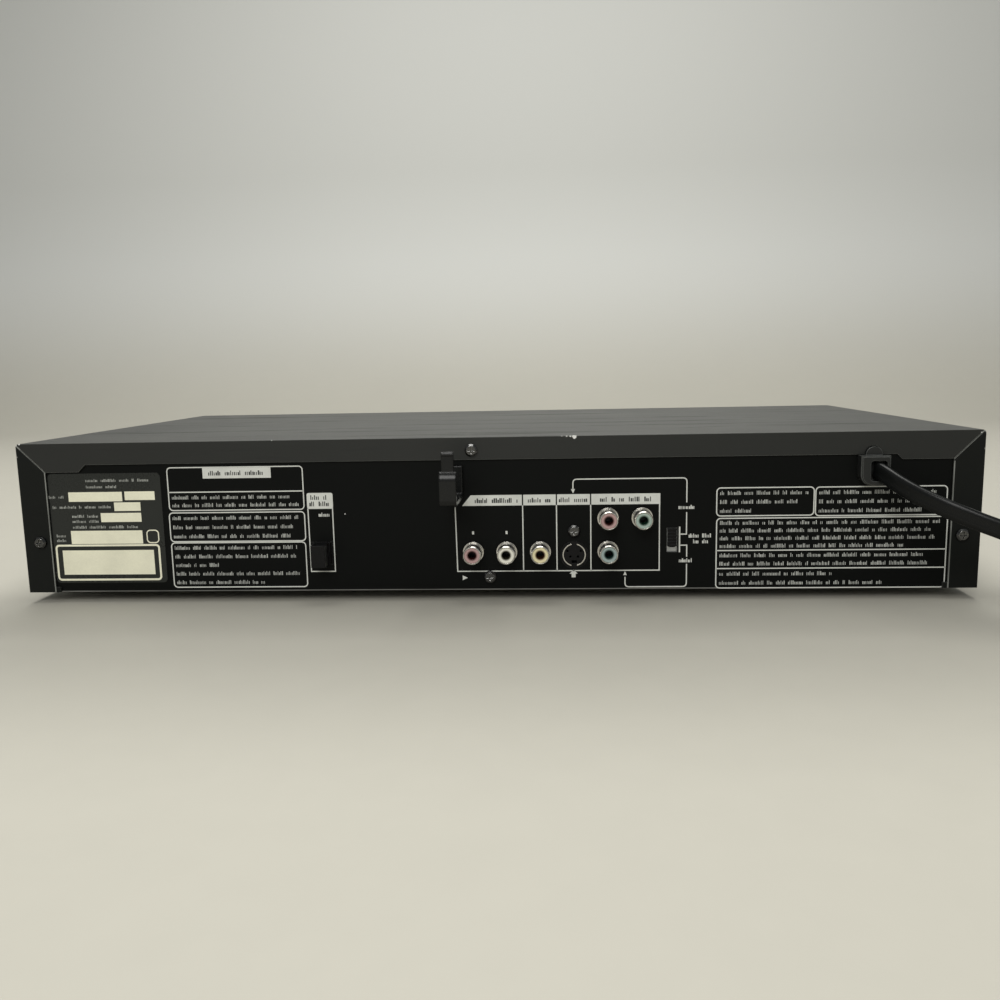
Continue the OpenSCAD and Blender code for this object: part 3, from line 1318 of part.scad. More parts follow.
chassis_pan();
rear_panel();
top_cover();
front_panel();
display_window();
feet();
cover_screws();
deck_screws();
main_board();
power_board();
key_board();
display_tube();
transformer();
capacitors();
heat_sink();
main_chips();
jack_housings();
jack_shells();
insert_red();
insert_white();
insert_yellow();
insert_green();
insert_blue();
s_video_core();
optical_jack();
optical_cap();
switch_frame();
switch_knob();
strain_relief();
cord_hook();
power_cord();
cord_coil();
cord_tie();
power_plug();
plug_blades();
loader_frame();
clamp_bridge();
clamp_puck();
disc_tray();
tray_door();
drive_gear();
belt_gear();
motor_pulley();
drive_belt();
loading_motor();
lift_slider();
pickup_deck();
guide_rods();
pickup_sled();
pickup_lens();
sled_pinion();
sled_motor();
spindle_motor();
turntable();
power_button();
open_button();
play_button();
stop_button();
skip_rocker();
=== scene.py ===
# %% [markdown]
# # A slim disc player, seen from behind
# The player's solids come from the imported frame, all in metres: +X is its right seen
# from the front, +Y points to its rear panel and +Z up, with the shelf at z = 0.
# This lesson dresses those solids. It sets the camera, the light and the mains lead
# first, then the finishes, then the printed lines, the sticker and the small pieces
# that only a close look shows.

# %% Open the frame
import math

import bmesh
import bpy
import numpy as np
from mathutils import Matrix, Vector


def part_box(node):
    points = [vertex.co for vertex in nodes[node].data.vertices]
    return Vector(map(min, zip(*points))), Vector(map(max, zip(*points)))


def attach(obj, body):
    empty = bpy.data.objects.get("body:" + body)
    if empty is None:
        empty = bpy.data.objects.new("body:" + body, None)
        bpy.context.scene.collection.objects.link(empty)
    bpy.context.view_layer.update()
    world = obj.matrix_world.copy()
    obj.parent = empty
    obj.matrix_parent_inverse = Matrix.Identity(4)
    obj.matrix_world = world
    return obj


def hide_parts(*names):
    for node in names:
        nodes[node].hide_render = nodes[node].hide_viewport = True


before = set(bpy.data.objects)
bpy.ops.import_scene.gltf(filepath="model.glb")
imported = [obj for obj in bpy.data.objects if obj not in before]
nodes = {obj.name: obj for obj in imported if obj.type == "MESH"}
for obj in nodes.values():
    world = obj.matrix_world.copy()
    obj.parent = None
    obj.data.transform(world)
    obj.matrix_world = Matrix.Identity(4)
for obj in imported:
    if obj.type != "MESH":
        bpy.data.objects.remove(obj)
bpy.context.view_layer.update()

# %% [markdown]
# Most places below are easier to write in millimetres, as a maker would, so one small
# helper turns them into metres. Two others read a solid's corners and its middle from
# the frame, so that a print or a sign sits on the solid that carries it.

# %% Measures
MM = 0.001


def mm(*values):
    """Millimetres to metres, as an array."""
    return np.array(values, dtype=float) * MM


def corners_of(node):
    """The lowest and the highest corner of a solid, in millimetres to a hundredth."""
    return np.round(np.array(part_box(node)) / MM, 2)


def middle_of(node):
    """X and Z of the middle of a solid's box, in millimetres to a hundredth."""
    x, _, z = np.round(corners_of(node).mean(0), 2)
    return x, z


PANEL_Y = corners_of("rear_panel")[1][1]
COVER_Y = corners_of("top_cover")[1][1]
print("rear panel's face at", PANEL_Y, "mm, the cover's at", COVER_Y)

# %% [markdown]
# The camera stands low behind the player and a little to its left, and looks slightly
# down. Its three axes are written out from a heading, a dip and a small lean. A rotation
# matrix made from them is simpler to read than three Euler angles in Blender's order.

# %% Camera
HEADING, DIP, LEAN = -0.0606, 0.1505, -0.0202
CAMERA_PLACE = (-0.03004, 0.5067, 0.10648)


def camera_axes(heading, dip, lean):
    """Right, up and forward: forward turns by the heading and dips, then right and up lean."""
    level = math.cos(dip)
    forward = np.array([-math.sin(heading) * level, -math.cos(heading) * level, -math.sin(dip)])
    right = np.array([-math.cos(heading), math.sin(heading), 0.0])
    up = np.cross(right, forward)
    up /= np.linalg.norm(up)
    leaning_right = right * math.cos(lean) + up * math.sin(lean)
    leaning_up = up * math.cos(lean) - right * math.sin(lean)
    return leaning_right, leaning_up, forward


right, up, forward = camera_axes(HEADING, DIP, LEAN)
camera = bpy.data.objects.new("camera", bpy.data.cameras.new("camera"))
bpy.context.scene.collection.objects.link(camera)
camera.data.sensor_width = 36.0
camera.data.lens = 32.4
camera.data.clip_start = 0.01
camera_rows = [[right[i], up[i], -forward[i], CAMERA_PLACE[i]] for i in range(3)]
camera.matrix_world = Matrix(camera_rows + [[0, 0, 0, 1]])
bpy.context.scene.camera = camera
bpy.context.scene.view_settings.view_transform = "Standard"
print("camera looks along", np.round(forward, 3))

# %% [markdown]
# Every new piece here is a surface worked out with numpy. Most are a grid of points whose
# neighbours join into quads, closed where the grid meets itself. Printed bars and marks
# are many small blocks, so they come as one array of boxes. One maker joins any number
# of such surfaces into one piece and turns its faces outward.

# %% Surfaces to pieces
def grid_faces(rows, columns, close_rows, close_columns):
    """Quads from each point of a grid to the next row and column, wrapped where closed."""
    i = np.arange(rows if close_rows else rows - 1)
    j = np.arange(columns if close_columns else columns - 1)
    i, j = (a.ravel() for a in np.meshgrid(i, j, indexing="ij"))
    i2, j2 = (i + 1) % rows, (j + 1) % columns
    corners = [i * columns + j, i * columns + j2, i2 * columns + j2, i2 * columns + j]
    return np.stack(corners, 1).tolist()


def sheet(grid, close_rows=False, close_columns=True, caps=True):
    """A grid of points[rows, columns, 3] with its faces, and a flat face over each open end if caps."""
    rows, columns = grid.shape[:2]
    faces = grid_faces(rows, columns, close_rows, close_columns)
    if caps and not close_rows:
        faces += [list(range(columns))[::-1], list(range((rows - 1) * columns, rows * columns))]
    return grid.reshape(-1, 3), faces


def blocks(low, high):
    """Many boxes at once, from arrays of their low and high corners[n, 3]."""
    # Each of the eight corners takes its coordinates from the high corner where this is 1
    pick = np.array([[0, 0, 0], [1, 0, 0], [1, 1, 0], [0, 1, 0],
                     [0, 0, 1], [1, 0, 1], [1, 1, 1], [0, 1, 1]], bool)
    low, high = np.asarray(low, float), np.asarray(high, float)
    points = np.where(pick[None], high[:, None], low[:, None])
    side = np.array([[3, 2, 1, 0], [4, 5, 6, 7], [0, 1, 5, 4], [1, 2, 6, 5], [2, 3, 7, 6], [3, 0, 4, 7]])
    faces = side[None] + 8 * np.arange(len(points))[:, None, None]
    return points.reshape(-1, 3), faces.reshape(-1, 4).tolist()


def make_piece(name, surfaces, body, material, smooth=False):
    """One object from several surfaces, each (points in mm, faces), with its normals turned outward."""
    points, faces, start = [], [], 0
    for part, part_faces in surfaces:
        points.append(part)
        faces += [[start + i for i in face] for face in part_faces]
        start += len(part)
    mesh = bpy.data.meshes.new(name)
    mesh.from_pydata(np.concatenate(points) * MM, [], faces)
    shell = bmesh.new()
    shell.from_mesh(mesh)
    bmesh.ops.recalc_face_normals(shell, faces=shell.faces)
    shell.to_mesh(mesh)
    shell.free()
    mesh.polygons.foreach_set("use_smooth", np.full(len(mesh.polygons), smooth))
    piece = bpy.data.objects.new(name, mesh)
    bpy.context.scene.collection.objects.link(piece)
    piece.data.materials.append(material)
    if body:
        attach(piece, body)
    return piece


# %% [markdown]
# ## Shared shader groups
# Real plastic and paint are never one flat colour. Three effects come back in nearly
# every finish, and two node groups hold them. One is a fine grain that moves the colour,
# gloss and height. The other gives a mask for edges that hands and tools have rubbed, whose
# lighter colour is also a painted highlight along the edge, and the rounded normal that
# makes a crisp edge catch a thin line of light, as every folded or moulded edge does.

# %% A little shader kit
def new_group(name, inputs, outputs):
    """A node group with named sockets: inputs are (name, type, default), outputs are (name, type)."""
    group = bpy.data.node_groups.new(name, "ShaderNodeTree")
    for label, kind, value in inputs:
        socket = group.interface.new_socket(label, in_out="INPUT", socket_type="NodeSocket" + kind)
        if value is not None:
            socket.default_value = value
    for label, kind in outputs:
        group.interface.new_socket(label, in_out="OUTPUT", socket_type="NodeSocket" + kind)
    return group, group.nodes.new("NodeGroupInput"), group.nodes.new("NodeGroupOutput")


def add(tree, kind, values=None, links=None, **settings):
    """Adds one node: settings are its own options, values fill sockets and links join them."""
    node = tree.nodes.new("ShaderNode" + kind)
    for key, value in settings.items():
        setattr(node, key, value)
    for key, value in (values or {}).items():
        node.inputs[key].default_value = value
    for key, source in (links or {}).items():
        tree.links.new(source, node.inputs[key])
    return node


def math_node(tree, operation, a, b=None, clamp=False):
    """One Math node; a and b are sockets or plain numbers."""
    node = tree.nodes.new("ShaderNodeMath")
    node.operation, node.use_clamp = operation, clamp
    for index, value in enumerate((a, b)):
        if value is None:
            continue
        if isinstance(value, (int, float)):
            node.inputs[index].default_value = value
        else:
            tree.links.new(value, node.inputs[index])
    return node.outputs[0]


def times(tree, a, b):
    """The product of two sockets or plain numbers."""
    return math_node(tree, "MULTIPLY", a, b)


def chained(tree, operation, sockets):
    """Several sockets joined by one operation, such as MINIMUM."""
    result = sockets[0]
    for socket in sockets[1:]:
        result = math_node(tree, operation, result, socket)
    return result


def blend(tree, factor, a, b):
    """A colour that goes from a to b with the factor; each is a socket or a plain colour."""
    mix = add(tree, "Mix", links={"Factor": factor}, data_type="RGBA")
    for key, color in (("A", a), ("B", b)):
        if isinstance(color, tuple):
            mix.inputs[key].default_value = color
        else:
            tree.links.new(color, mix.inputs[key])
    return mix.outputs["Result"]


def smooth_step(tree, value, start, end, before=0.0, after=1.0):
    """A value that moves smoothly from before to after while the given one goes from start to end."""
    numbers = {"From Min": start, "From Max": end, "To Min": before, "To Max": after}
    return add(tree, "MapRange", numbers, {"Value": value}, interpolation_type="SMOOTHSTEP").outputs[0]


def opened(material):
    """What it takes to change a material: its tree, its shader and the place on the object."""
    tree = material.node_tree
    return tree, tree.nodes["Principled BSDF"], add(tree, "TexCoord").outputs["Object"]


def new_material(name):
    """A new material, and with it what it takes to change it."""
    material = bpy.data.materials.new(name)
    material.use_nodes = True
    return material, *opened(material)


def feed(shader, label):
    """The socket that one of the shader's inputs is joined to."""
    return shader.inputs[label].links[0].from_socket


# %% Fine grain
FINE_SHARE = 0.35


def build_grain():
    """Two noises, a broad one for stains and a fine one for texture, mixed into a tone and a height."""
    group, given, result = new_group(
        "fine_grain",
        [("Place", "Vector", None), ("Fine Scale", "Float", 900.0), ("Broad Scale", "Float", 14.0)],
        [("Tone", "Float"), ("Height", "Float")],
    )
    fine = add(group, "TexNoise", {"Detail": 3.0, "Roughness": 0.6},
               {"Vector": given.outputs["Place"], "Scale": given.outputs["Fine Scale"]})
    broad = add(group, "TexNoise", {"Detail": 5.0, "Roughness": 0.62},
                {"Vector": given.outputs["Place"], "Scale": given.outputs["Broad Scale"]})
    tone = math_node(group, "ADD", times(group, fine.outputs[0], FINE_SHARE),
                     times(group, broad.outputs[0], 1 - FINE_SHARE))
    group.links.new(tone, result.inputs["Tone"])
    group.links.new(fine.outputs[0], result.inputs["Height"])
    return group


# %% Rubbed edges
def build_edges():
    """Where the rounded normal departs from the flat one there is an edge; a noise breaks the mask up."""
    group, given, result = new_group(
        "rubbed_and_glinting_edges",
        [("Place", "Vector", None), ("Radius", "Float", 0.0005), ("Reach", "Float", 1.0),
         ("Patch Scale", "Float", 60.0)],
        [("Mask", "Float"), ("Soft Normal", "Vector")],
    )
    bevel = add(group, "Bevel", links={"Radius": given.outputs["Radius"]}, samples=6)
    geometry = group.nodes.new("ShaderNodeNewGeometry")
    normals = {0: bevel.outputs[0], 1: geometry.outputs["Normal"]}
    dot = add(group, "VectorMath", links=normals, operation="DOT_PRODUCT")
    turn = math_node(group, "SUBTRACT", 1.0, dot.outputs["Value"])
    patches = add(group, "TexNoise", {"Detail": 4.0, "Roughness": 0.7},
                  {"Vector": given.outputs["Place"], "Scale": given.outputs["Patch Scale"]})
    broken = times(group, turn, times(group, patches.outputs[0], given.outputs["Reach"]))
    mask = add(group, "MapRange", {"From Min": 0.012, "From Max": 0.09}, {"Value": broken})
    group.links.new(mask.outputs[0], result.inputs["Mask"])
    group.links.new(bevel.outputs[0], result.inputs["Soft Normal"])
    return group


GRAIN, EDGES = build_grain(), build_edges()
print("groups:", [g.name for g in bpy.data.node_groups])

# %% [markdown]
# One function writes the plain finishes from a few numbers: the colour in the middle of
# the grain's range and how far it drifts, the gloss and its drift, the size and depth of
# the texture, and how bright and how strong the rubbed edges are, whose lighter colour is
# partly a painted highlight. Numbers that are the same all over go straight on the shader's own sockets.

# %% Plain finishes
GRAIN_RANGE = {"From Min": 0.3, "From Max": 0.7}
COAT_ROUGH = 0.12


def tint(color, factor=1.0):
    """A colour with every channel multiplied, and a full alpha."""
    return tuple(min(1.0, c * factor) for c in color[:3]) + (1.0,)


def finish(name, color, rough=0.5, drift=0.16, rough_drift=0.08, metal=0.0, fine=900.0, broad=14.0,
           depth=0.03, round_mm=0.3, rub_glint=0.0, rub_glint_color=(0.35, 0.35, 0.34), coat=0.0, patch=60.0,
           specular=0.5):
    """A Principled material whose colour, gloss and height follow the fine grain and the rubbed edges, which
    carry a painted highlight.
    """
    material, tree, shader, place = new_material(name)
    grain = add(tree, "Group", {"Fine Scale": fine, "Broad Scale": broad}, {"Place": place}, node_tree=GRAIN)
    wear_and_glint = {"Radius": round_mm * MM, "Reach": max(rub_glint, 0.001), "Patch Scale": patch}
    edges = add(tree, "Group", wear_and_glint, {"Place": place}, node_tree=EDGES)
    tone = {"Value": grain.outputs["Tone"]}
    tones = add(tree, "MapRange", GRAIN_RANGE, tone)
    color_out = blend(tree, tones.outputs[0], tint(color, 1 - drift), tint(color, 1 + drift))
    gloss = {"To Min": max(0.02, rough - rough_drift), "To Max": min(1.0, rough + rough_drift)}
    rough_out = add(tree, "MapRange", {**GRAIN_RANGE, **gloss}, tone)
    # Rubbed edges take the lighter edge colour: partly rubbing, partly a painted highlight
    if rub_glint > 0:
        color_out = blend(tree, edges.outputs["Mask"], color_out, tint(rub_glint_color))
    bump = add(tree, "Bump", {"Strength": 0.6, "Distance": depth * MM},
               {"Height": grain.outputs["Height"], "Normal": edges.outputs["Soft Normal"]})
    tree.links.new(color_out, shader.inputs["Base Color"])
    tree.links.new(rough_out.outputs[0], shader.inputs["Roughness"])
    tree.links.new(bump.outputs[0], shader.inputs["Normal"])
    shader.inputs["Metallic"].default_value = metal
    shader.inputs["Coat Weight"].default_value = coat
    if coat:
        shader.inputs["Coat Roughness"].default_value = COAT_ROUGH
    shader.inputs["Specular IOR Level"].default_value = specular
    return material


def glassy(name, color, rough, transmission):
    """A clear or smoked material: Metallic and Transmission stay plain numbers."""
    material, tree, shader, place = new_material(name)
    grain = add(tree, "Group", {"Fine Scale": 300.0, "Broad Scale": 30.0}, {"Place": place}, node_tree=GRAIN)
    tone = grain.outputs["Tone"]
    spread = add(tree, "MapRange", {"To Min": rough * 0.6, "To Max": rough * 1.6}, {"Value": tone})
    tree.links.new(spread.outputs[0], shader.inputs["Roughness"])
    tree.links.new(blend(tree, tone, tint(color, 0.9), tint(color, 1.1)), shader.inputs["Base Color"])
    shader.inputs["Transmission Weight"].default_value = transmission
    return material


# %% [markdown]
# ## Stage
# The shelf is pale and plain but for a painted shadow close behind the player, and runs
# back into a pale wall through a wide curve, so no hard line crosses behind the player.
# One big soft lamp hangs overhead, a weaker one stands behind the camera, and the world
# fills the rest. A colour then renders about as it is written.

# %% Shelf and wall
SHELF_FRONT, SHELF_BACK, CURVE = 1600.0, -1500.0, 520.0
WALL_TOP, HALF_WIDE = 2600.0, 2600.0
WALL_TONE = (0.60, 0.605, 0.585, 1.0)


def backdrop():
    """A profile of shelf, quarter circle and wall in Y and Z, carried along X."""
    arc = np.linspace(0, math.pi / 2, 41)
    y = np.concatenate([[SHELF_FRONT, 600.0], SHELF_BACK + CURVE - CURVE * np.sin(arc), [SHELF_BACK]])
    z = np.concatenate([[0.0, 0.0], CURVE - CURVE * np.cos(arc), [WALL_TOP]])
    x = np.linspace(-HALF_WIDE, HALF_WIDE, 9)
    grid = np.empty((len(y), len(x), 3))
    grid[..., 0], grid[..., 1], grid[..., 2] = x[None, :], y[:, None], z[:, None]
    return grid


def stage_paint():
    """Warm paper with a painted shadow, deepest close behind the player; it turns cooler and lighter up the
    wall.
    """
    material = finish("shelf_paint", (0.455, 0.44, 0.385), rough=0.6, drift=0.025, rough_drift=0.05,
                      fine=60.0, broad=2.5, depth=0.02, round_mm=0.01, specular=0.25)
    tree, shader, place = opened(material)
    _, y, z = add(tree, "SeparateXYZ", links={0: place}).outputs
    # Painted shadow: darkest some 5 cm behind the rear panel, lighter towards the camera and beyond the
    # player
    painted_shadow = smooth_step(tree, y, 0.15, 0.31, 0.62, 0.96)
    shadow_lift = smooth_step(tree, y, 0.08, 0.16, 1.5, 1.0)
    paper = {0: feed(shader, "Base Color"), "Scale": times(tree, painted_shadow, shadow_lift)}
    shadowed_shelf = add(tree, "VectorMath", links=paper, operation="SCALE")
    wall = blend(tree, smooth_step(tree, z, 0.0, 0.35), shadowed_shelf.outputs[0], WALL_TONE)
    tree.links.new(wall, shader.inputs["Base Color"])
    return material


shelf_surface = sheet(backdrop(), close_columns=False, caps=False)
shelf = make_piece("shelf", [shelf_surface], None, stage_paint(), smooth=True)


# %% Lamps and world
def lamp(name, place, target, size, power, color):
    """A square area lamp that faces its target."""
    data = bpy.data.lights.new(name, "AREA")
    data.shape, data.size, data.energy, data.color = "SQUARE", size, power, color
    obj = bpy.data.objects.new(name, data)
    bpy.context.scene.collection.objects.link(obj)
    away = np.array(place, float) - np.array(target, float)
    away /= np.linalg.norm(away)
    side = np.cross([0.0, 1.0, 0.0] if abs(away[2]) > 0.9 else [0.0, 0.0, 1.0], away)
    side /= np.linalg.norm(side)
    top = np.cross(away, side)
    obj.matrix_world = Matrix([[side[i], top[i], away[i], place[i]] for i in range(3)] + [[0, 0, 0, 1]])
    return obj


lamp("ceiling", (0.05, -0.30, 1.6), (0.0, 0.1, 0.0), size=1.4, power=33.0, color=(1.0, 0.99, 0.95))
lamp("fill", (0.25, 1.5, 1.1), (0.0, 0.1, 0.05), size=0.9, power=16.0, color=(1.0, 0.99, 0.96))
world = bpy.data.worlds.new("studio")
bpy.context.scene.world = world
world.use_nodes = True
sky = world.node_tree.nodes["Background"]
sky.inputs["Color"].default_value = (0.93, 0.95, 0.93, 1.0)
sky.inputs["Strength"].default_value = 0.28

# %% [markdown]
# ## Mains lead
# The lead is a flat two-core cord, 7.6 mm wide and 3.8 mm thick, moulded into the strain
# relief at the top of the panel. It leaves with its wide side upright, swings aside and
# down, twists flat, and the length that isn't needed lies wound on the shelf in a coil
# of three layers with a tie, ending in its plug. The route is a few given points, then
# angles round the coil, and the cord is an outline carried along it.

# %% Route of the lead
CORD_WIDE, CORD_THICK = 7.6, 3.8
LEAD = np.array([
    [-168.9, 113.1, 58], [-170, 116, 57.2], [-171.9, 120.1, 55.4], [-175, 125.4, 52.6], [-180.6, 132.2, 48.8],
    [-189.2, 138.9, 44.6], [-199, 143.6, 40.4], [-206.8, 146.6, 37.4], [-218, 150.8, 32.6], [-230, 155.4, 27],
    [-242, 160, 21.4], [-253, 164.2, 17], [-262, 167.6, 14.8], [-268, 169.9, 14.2], [-272, 171.2, 14]])
COIL = np.array([-284.0, 129.0])
TAIL = np.array([[-235.9, 121.4, 2.5], [-232.8, 129.9, 2.5], [-229.8, 138.2, 2.5], [-227.8, 143.7, 2.9],
                 [-226.4, 147.4, 3.4], [-225.4, 150.2, 3.4]])


def ease(angle, start, end, before, after):
    """From before to after between two angles or lengths, by the cubic that starts and ends level."""
    t = np.clip((angle - start) / (end - start), 0, 1)
    return before + (after - before) * t * t * (3 - 2 * t)


def coil_route():
    """Three layers of two turns. Radius and height change in short steps, each earlier round the ring."""
    turn = np.arange(84.0, 1781.0, 10.0)
    radius = ease(turn, 74, 124, 43.9, 40.2)
    radius = radius + ease(turn, 394, 434, 0, CORD_WIDE) - ease(turn, 1034, 1074, 0, CORD_WIDE)
    radius = radius + ease(turn, 1674, 1714, 0, CORD_WIDE)
    # The layers lie at 10.1, 6.3 and 2.5 mm, and the lead comes down onto the first
    height = ease(turn, 120, 170, 14.0, 10.1)
    height = height - ease(turn, 714, 754, 0, CORD_THICK) - ease(turn, 1354, 1394, 0, CORD_THICK)
    t = np.radians(turn)
    return np.stack([COIL[0] + radius * np.cos(t), COIL[1] + radius * np.sin(t), height], 1)


def rounded_route(points, steps):
    """Catmull-Rom: each stretch between two points bends towards their neighbours."""
    p = np.vstack([2 * points[0] - points[1], points, 2 * points[-1] - points[-2]])
    t = (np.arange(steps) / steps)[None, :, None]
    a, b, c, d = (p[i:len(p) - 3 + i, None, :] for i in range(4))
    curve = 2 * b + (c - a) * t + (2 * a - 5 * b + 4 * c - d) * t ** 2
    curve = 0.5 * (curve + (3 * b - a - 3 * c + d) * t ** 3)
    return np.vstack([curve.reshape(-1, 3), points[-1:]])


route = rounded_route(np.vstack([LEAD, coil_route(), TAIL]), 4)
lead_length = np.linalg.norm(np.diff(route, axis=0), axis=1).sum() * MM
print(f"lead: {len(route)} rings, {lead_length:.3f} m")


# %% Cord surface
def cord_outline():
    """A flattened oval: cosine and sine to powers under 1, with a bell-shaped groove between the cores."""
    t = np.linspace(0, 2 * math.pi, 28, endpoint=False)
    wide = CORD_WIDE / 2 * np.sign(np.cos(t)) * np.abs(np.cos(t)) ** 0.75
    thin = CORD_THICK / 2 * np.sign(np.sin(t)) * np.abs(np.sin(t)) ** 0.55
    return wide, thin * (1 - 0.17 * np.exp(-(wide / 0.75) ** 2))


def flat_cord(route, upright_until, level_from):
    """The outline across the route. Its wide way turns from upright to level between two arc lengths."""
    ahead = np.gradient(route, axis=0)
    ahead /= np.linalg.norm(ahead, axis=1, keepdims=True)
    side = np.cross(ahead, [0.0, 0.0, 1.0])
    side /= np.linalg.norm(side, axis=1, keepdims=True)
    over = np.cross(side, ahead)
    run = np.concatenate([[0], np.cumsum(np.linalg.norm(np.diff(route, axis=0), axis=1))])
    twist = ease(run, upright_until, level_from, 0.0, math.pi / 2)[:, None]
    wide_way = np.cos(twist) * over + np.sin(twist) * side
    thin_way = np.cross(wide_way, ahead)
    wide, thin = cord_outline()
    return route[:, None] + wide[None, :, None] * wide_way[:, None] + thin[None, :, None] * thin_way[:, None]


vinyl = finish("cord_vinyl", (0.004, 0.0045, 0.0045), rough=0.3, drift=0.25, rough_drift=0.07,
               fine=1400.0, broad=40.0, depth=0.008, round_mm=0.2, specular=0.22)
lead_surface = sheet(flat_cord(route, upright_until=62.0, level_from=112.0))
mains_lead = make_piece("mains_lead", [lead_surface], "chassis", vinyl, smooth=True)
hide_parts("power_cord", "cord_coil")

# %% [markdown]
# ## Finishes of the solids
# Each solid takes the finish of what it is made of. The colours are close to what a
# meter would read on the part itself, save the painted highlight on rubbed edges, and the gloss does the
# rest.

# %% Finishes by node
FINISHES = {
    "zinc_steel": (["chassis_pan", "clamp_bridge", "switch_frame"],
                   dict(color=(0.42, 0.43, 0.43), rough=0.38, metal=0.9, fine=260.0, broad=30.0, depth=0.02)),
    "fascia_plastic": (["front_panel", "tray_door"],
                       dict(color=(0.022, 0.023, 0.025), rough=0.45, fine=2200.0, depth=0.03, round_mm=0.5)),
    "foot_rubber": (["feet"], dict(color=(0.018, 0.018, 0.018), rough=0.8, fine=1500.0, depth=0.05)),
    "plated_screw": (["deck_screws"], dict(color=(0.6, 0.6, 0.57), rough=0.32, metal=1.0)),
    "green_board": (["main_board", "key_board"],
                    dict(color=(0.018, 0.10, 0.045), rough=0.3, fine=500.0, coat=0.4)),
    "tan_board": (["power_board"], dict(color=(0.30, 0.2, 0.09), rough=0.5, fine=500.0)),
    "chip_black": (["main_chips"], dict(color=(0.02, 0.02, 0.02), rough=0.6, fine=1800.0)),
    "transformer_body": (["transformer"], dict(color=(0.45, 0.33, 0.08), rough=0.45, broad=60.0)),
    "capacitor_sleeve": (["capacitors"], dict(color=(0.02, 0.035, 0.09), rough=0.3, coat=0.5)),
    "sink_aluminium": (["heat_sink"], dict(color=(0.58, 0.59, 0.6), rough=0.4, metal=1.0, fine=400.0)),
    "jack_black": (["jack_housings", "s_video_core", "optical_jack", "optical_cap", "switch_knob"],
                   dict(color=(0.004, 0.004, 0.0045), rough=0.3, fine=1200.0, depth=0.01, round_mm=0.25,
                        specular=0.2)),
    # The relief's lighter rubbed edges are a painted highlight as much as rubbing
    "relief_plastic": (["strain_relief"],
                       dict(color=(0.016, 0.017, 0.0165), rough=0.34, fine=1600.0, depth=0.012,
                            round_mm=0.5, rub_glint=2.0, rub_glint_color=(0.10, 0.105, 0.10), patch=150.0,
                            specular=0.3)),
    "hook_plastic": (["cord_hook", "cord_tie"],
                     dict(color=(0.006, 0.0065, 0.0065), rough=0.24, fine=1000.0, depth=0.008,
                          round_mm=0.8, specular=0.3)),
    "plug_vinyl": (["power_plug"],
                   dict(color=(0.015, 0.0155, 0.0155), rough=0.45, fine=1400.0, round_mm=0.8)),
    "blade_brass": (["plug_blades"], dict(color=(0.72, 0.62, 0.38), rough=0.3, metal=1.0)),
    "loader_plastic": (["loader_frame", "pickup_deck"],
                       dict(color=(0.03, 0.032, 0.035), rough=0.5, fine=1500.0)),
    "tray_plastic": (["disc_tray"], dict(color=(0.028, 0.029, 0.031), rough=0.42, fine=1800.0, round_mm=0.5)),
    "gear_acetal": (["clamp_puck", "drive_gear", "belt_gear", "motor_pulley", "lift_slider", "sled_pinion"],
                    dict(color=(0.76, 0.74, 0.67), rough=0.42, drift=0.05, fine=700.0)),
    "belt_rubber": (["drive_belt"], dict(color=(0.015, 0.015, 0.015), rough=0.7, fine=2000.0)),
    "motor_steel": (["loading_motor", "guide_rods", "sled_motor", "spindle_motor"],
                    dict(color=(0.56, 0.57, 0.58), rough=0.3, metal=1.0, fine=500.0)),
    "sled_metal": (["pickup_sled"], dict(color=(0.22, 0.19, 0.12), rough=0.45, metal=0.6, fine=700.0)),
    "turntable_rubber": (["turntable"], dict(color=(0.025, 0.026, 0.028), rough=0.6, fine=900.0)),
    "button_plastic": (["power_button", "open_button", "play_button", "stop_button", "skip_rocker"],
                       dict(color=(0.34, 0.35, 0.36), rough=0.3, drift=0.05, metal=0.35, fine=1500.0,
                            round_mm=0.6, coat=0.3)),
}


def dress(node, material):
    """Puts one material in every slot of a CAD node."""
    node_mesh = nodes[node].data
    if not node_mesh.materials:
        node_mesh.materials.append(material)
    for index in range(len(node_mesh.materials)):
        node_mesh.materials[index] = material


for label, (wearers, numbers) in FINISHES.items():
    made = finish(label, **numbers)
    for wearer in wearers:
        dress(wearer, made)
dress("display_window", glassy("window_smoke", (0.02, 0.022, 0.026), 0.06, 0.6))
dress("display_tube", finish("display_glass", (0.05, 0.07, 0.07), rough=0.15, coat=0.6))
dress("pickup_lens", glassy("lens_glass", (0.5, 0.6, 0.85), 0.03, 0.8))
print("finishes:", len(bpy.data.materials))

# %% [markdown]
# ## Painted case
# The cover is steel with a fine satin enamel. It takes light mostly at a low angle, so
# its gloss matters more than its colour. Years on a shelf left faint scuffs across the
# top and a few chips at the rear edge, where bare steel shows. The scuffs are stretched
# noise, and a chip is a ragged spot round a place on the edge.

# %% Enamel with scuffs and chips
CHIPS = [((-39.4, 110.3, 74.2), 0.8), ((-37.6, 110.4, 74.4), 0.35), ((-35.9, 110.4, 74.4), 0.3),
         ((-33.8, 110.4, 74.4), 0.2), ((214.7, 110.2, 73.9), 0.45), ((213.2, 110.4, 74.3), 0.3),
         ((-214.6, 110.2, 73.9), 0.45), ((-213.0, 110.4, 73.2), 0.25), ((-214.8, 110.3, 66.4), 0.3),
         ((214.8, 110.3, 68.5), 0.3), ((96.0, 110.4, 74.4), 0.2)]
PANEL_CHIP = [((64.5, 109.5, 40.5), 0.2)]
BARE_STEEL = (0.8, 0.8, 0.77, 1.0)
# The cover's rear flange: the depth it begins at, and the height and X of its inner corners
FLANGE_Y, CORNER_Z, INNER_X = COVER_Y - 0.4, 61.2, 202.45
# Each mitre rises at 45 degrees, so X is more than Z by one length along it, at -X and at +X
MITRES = (140.1, 141.1)


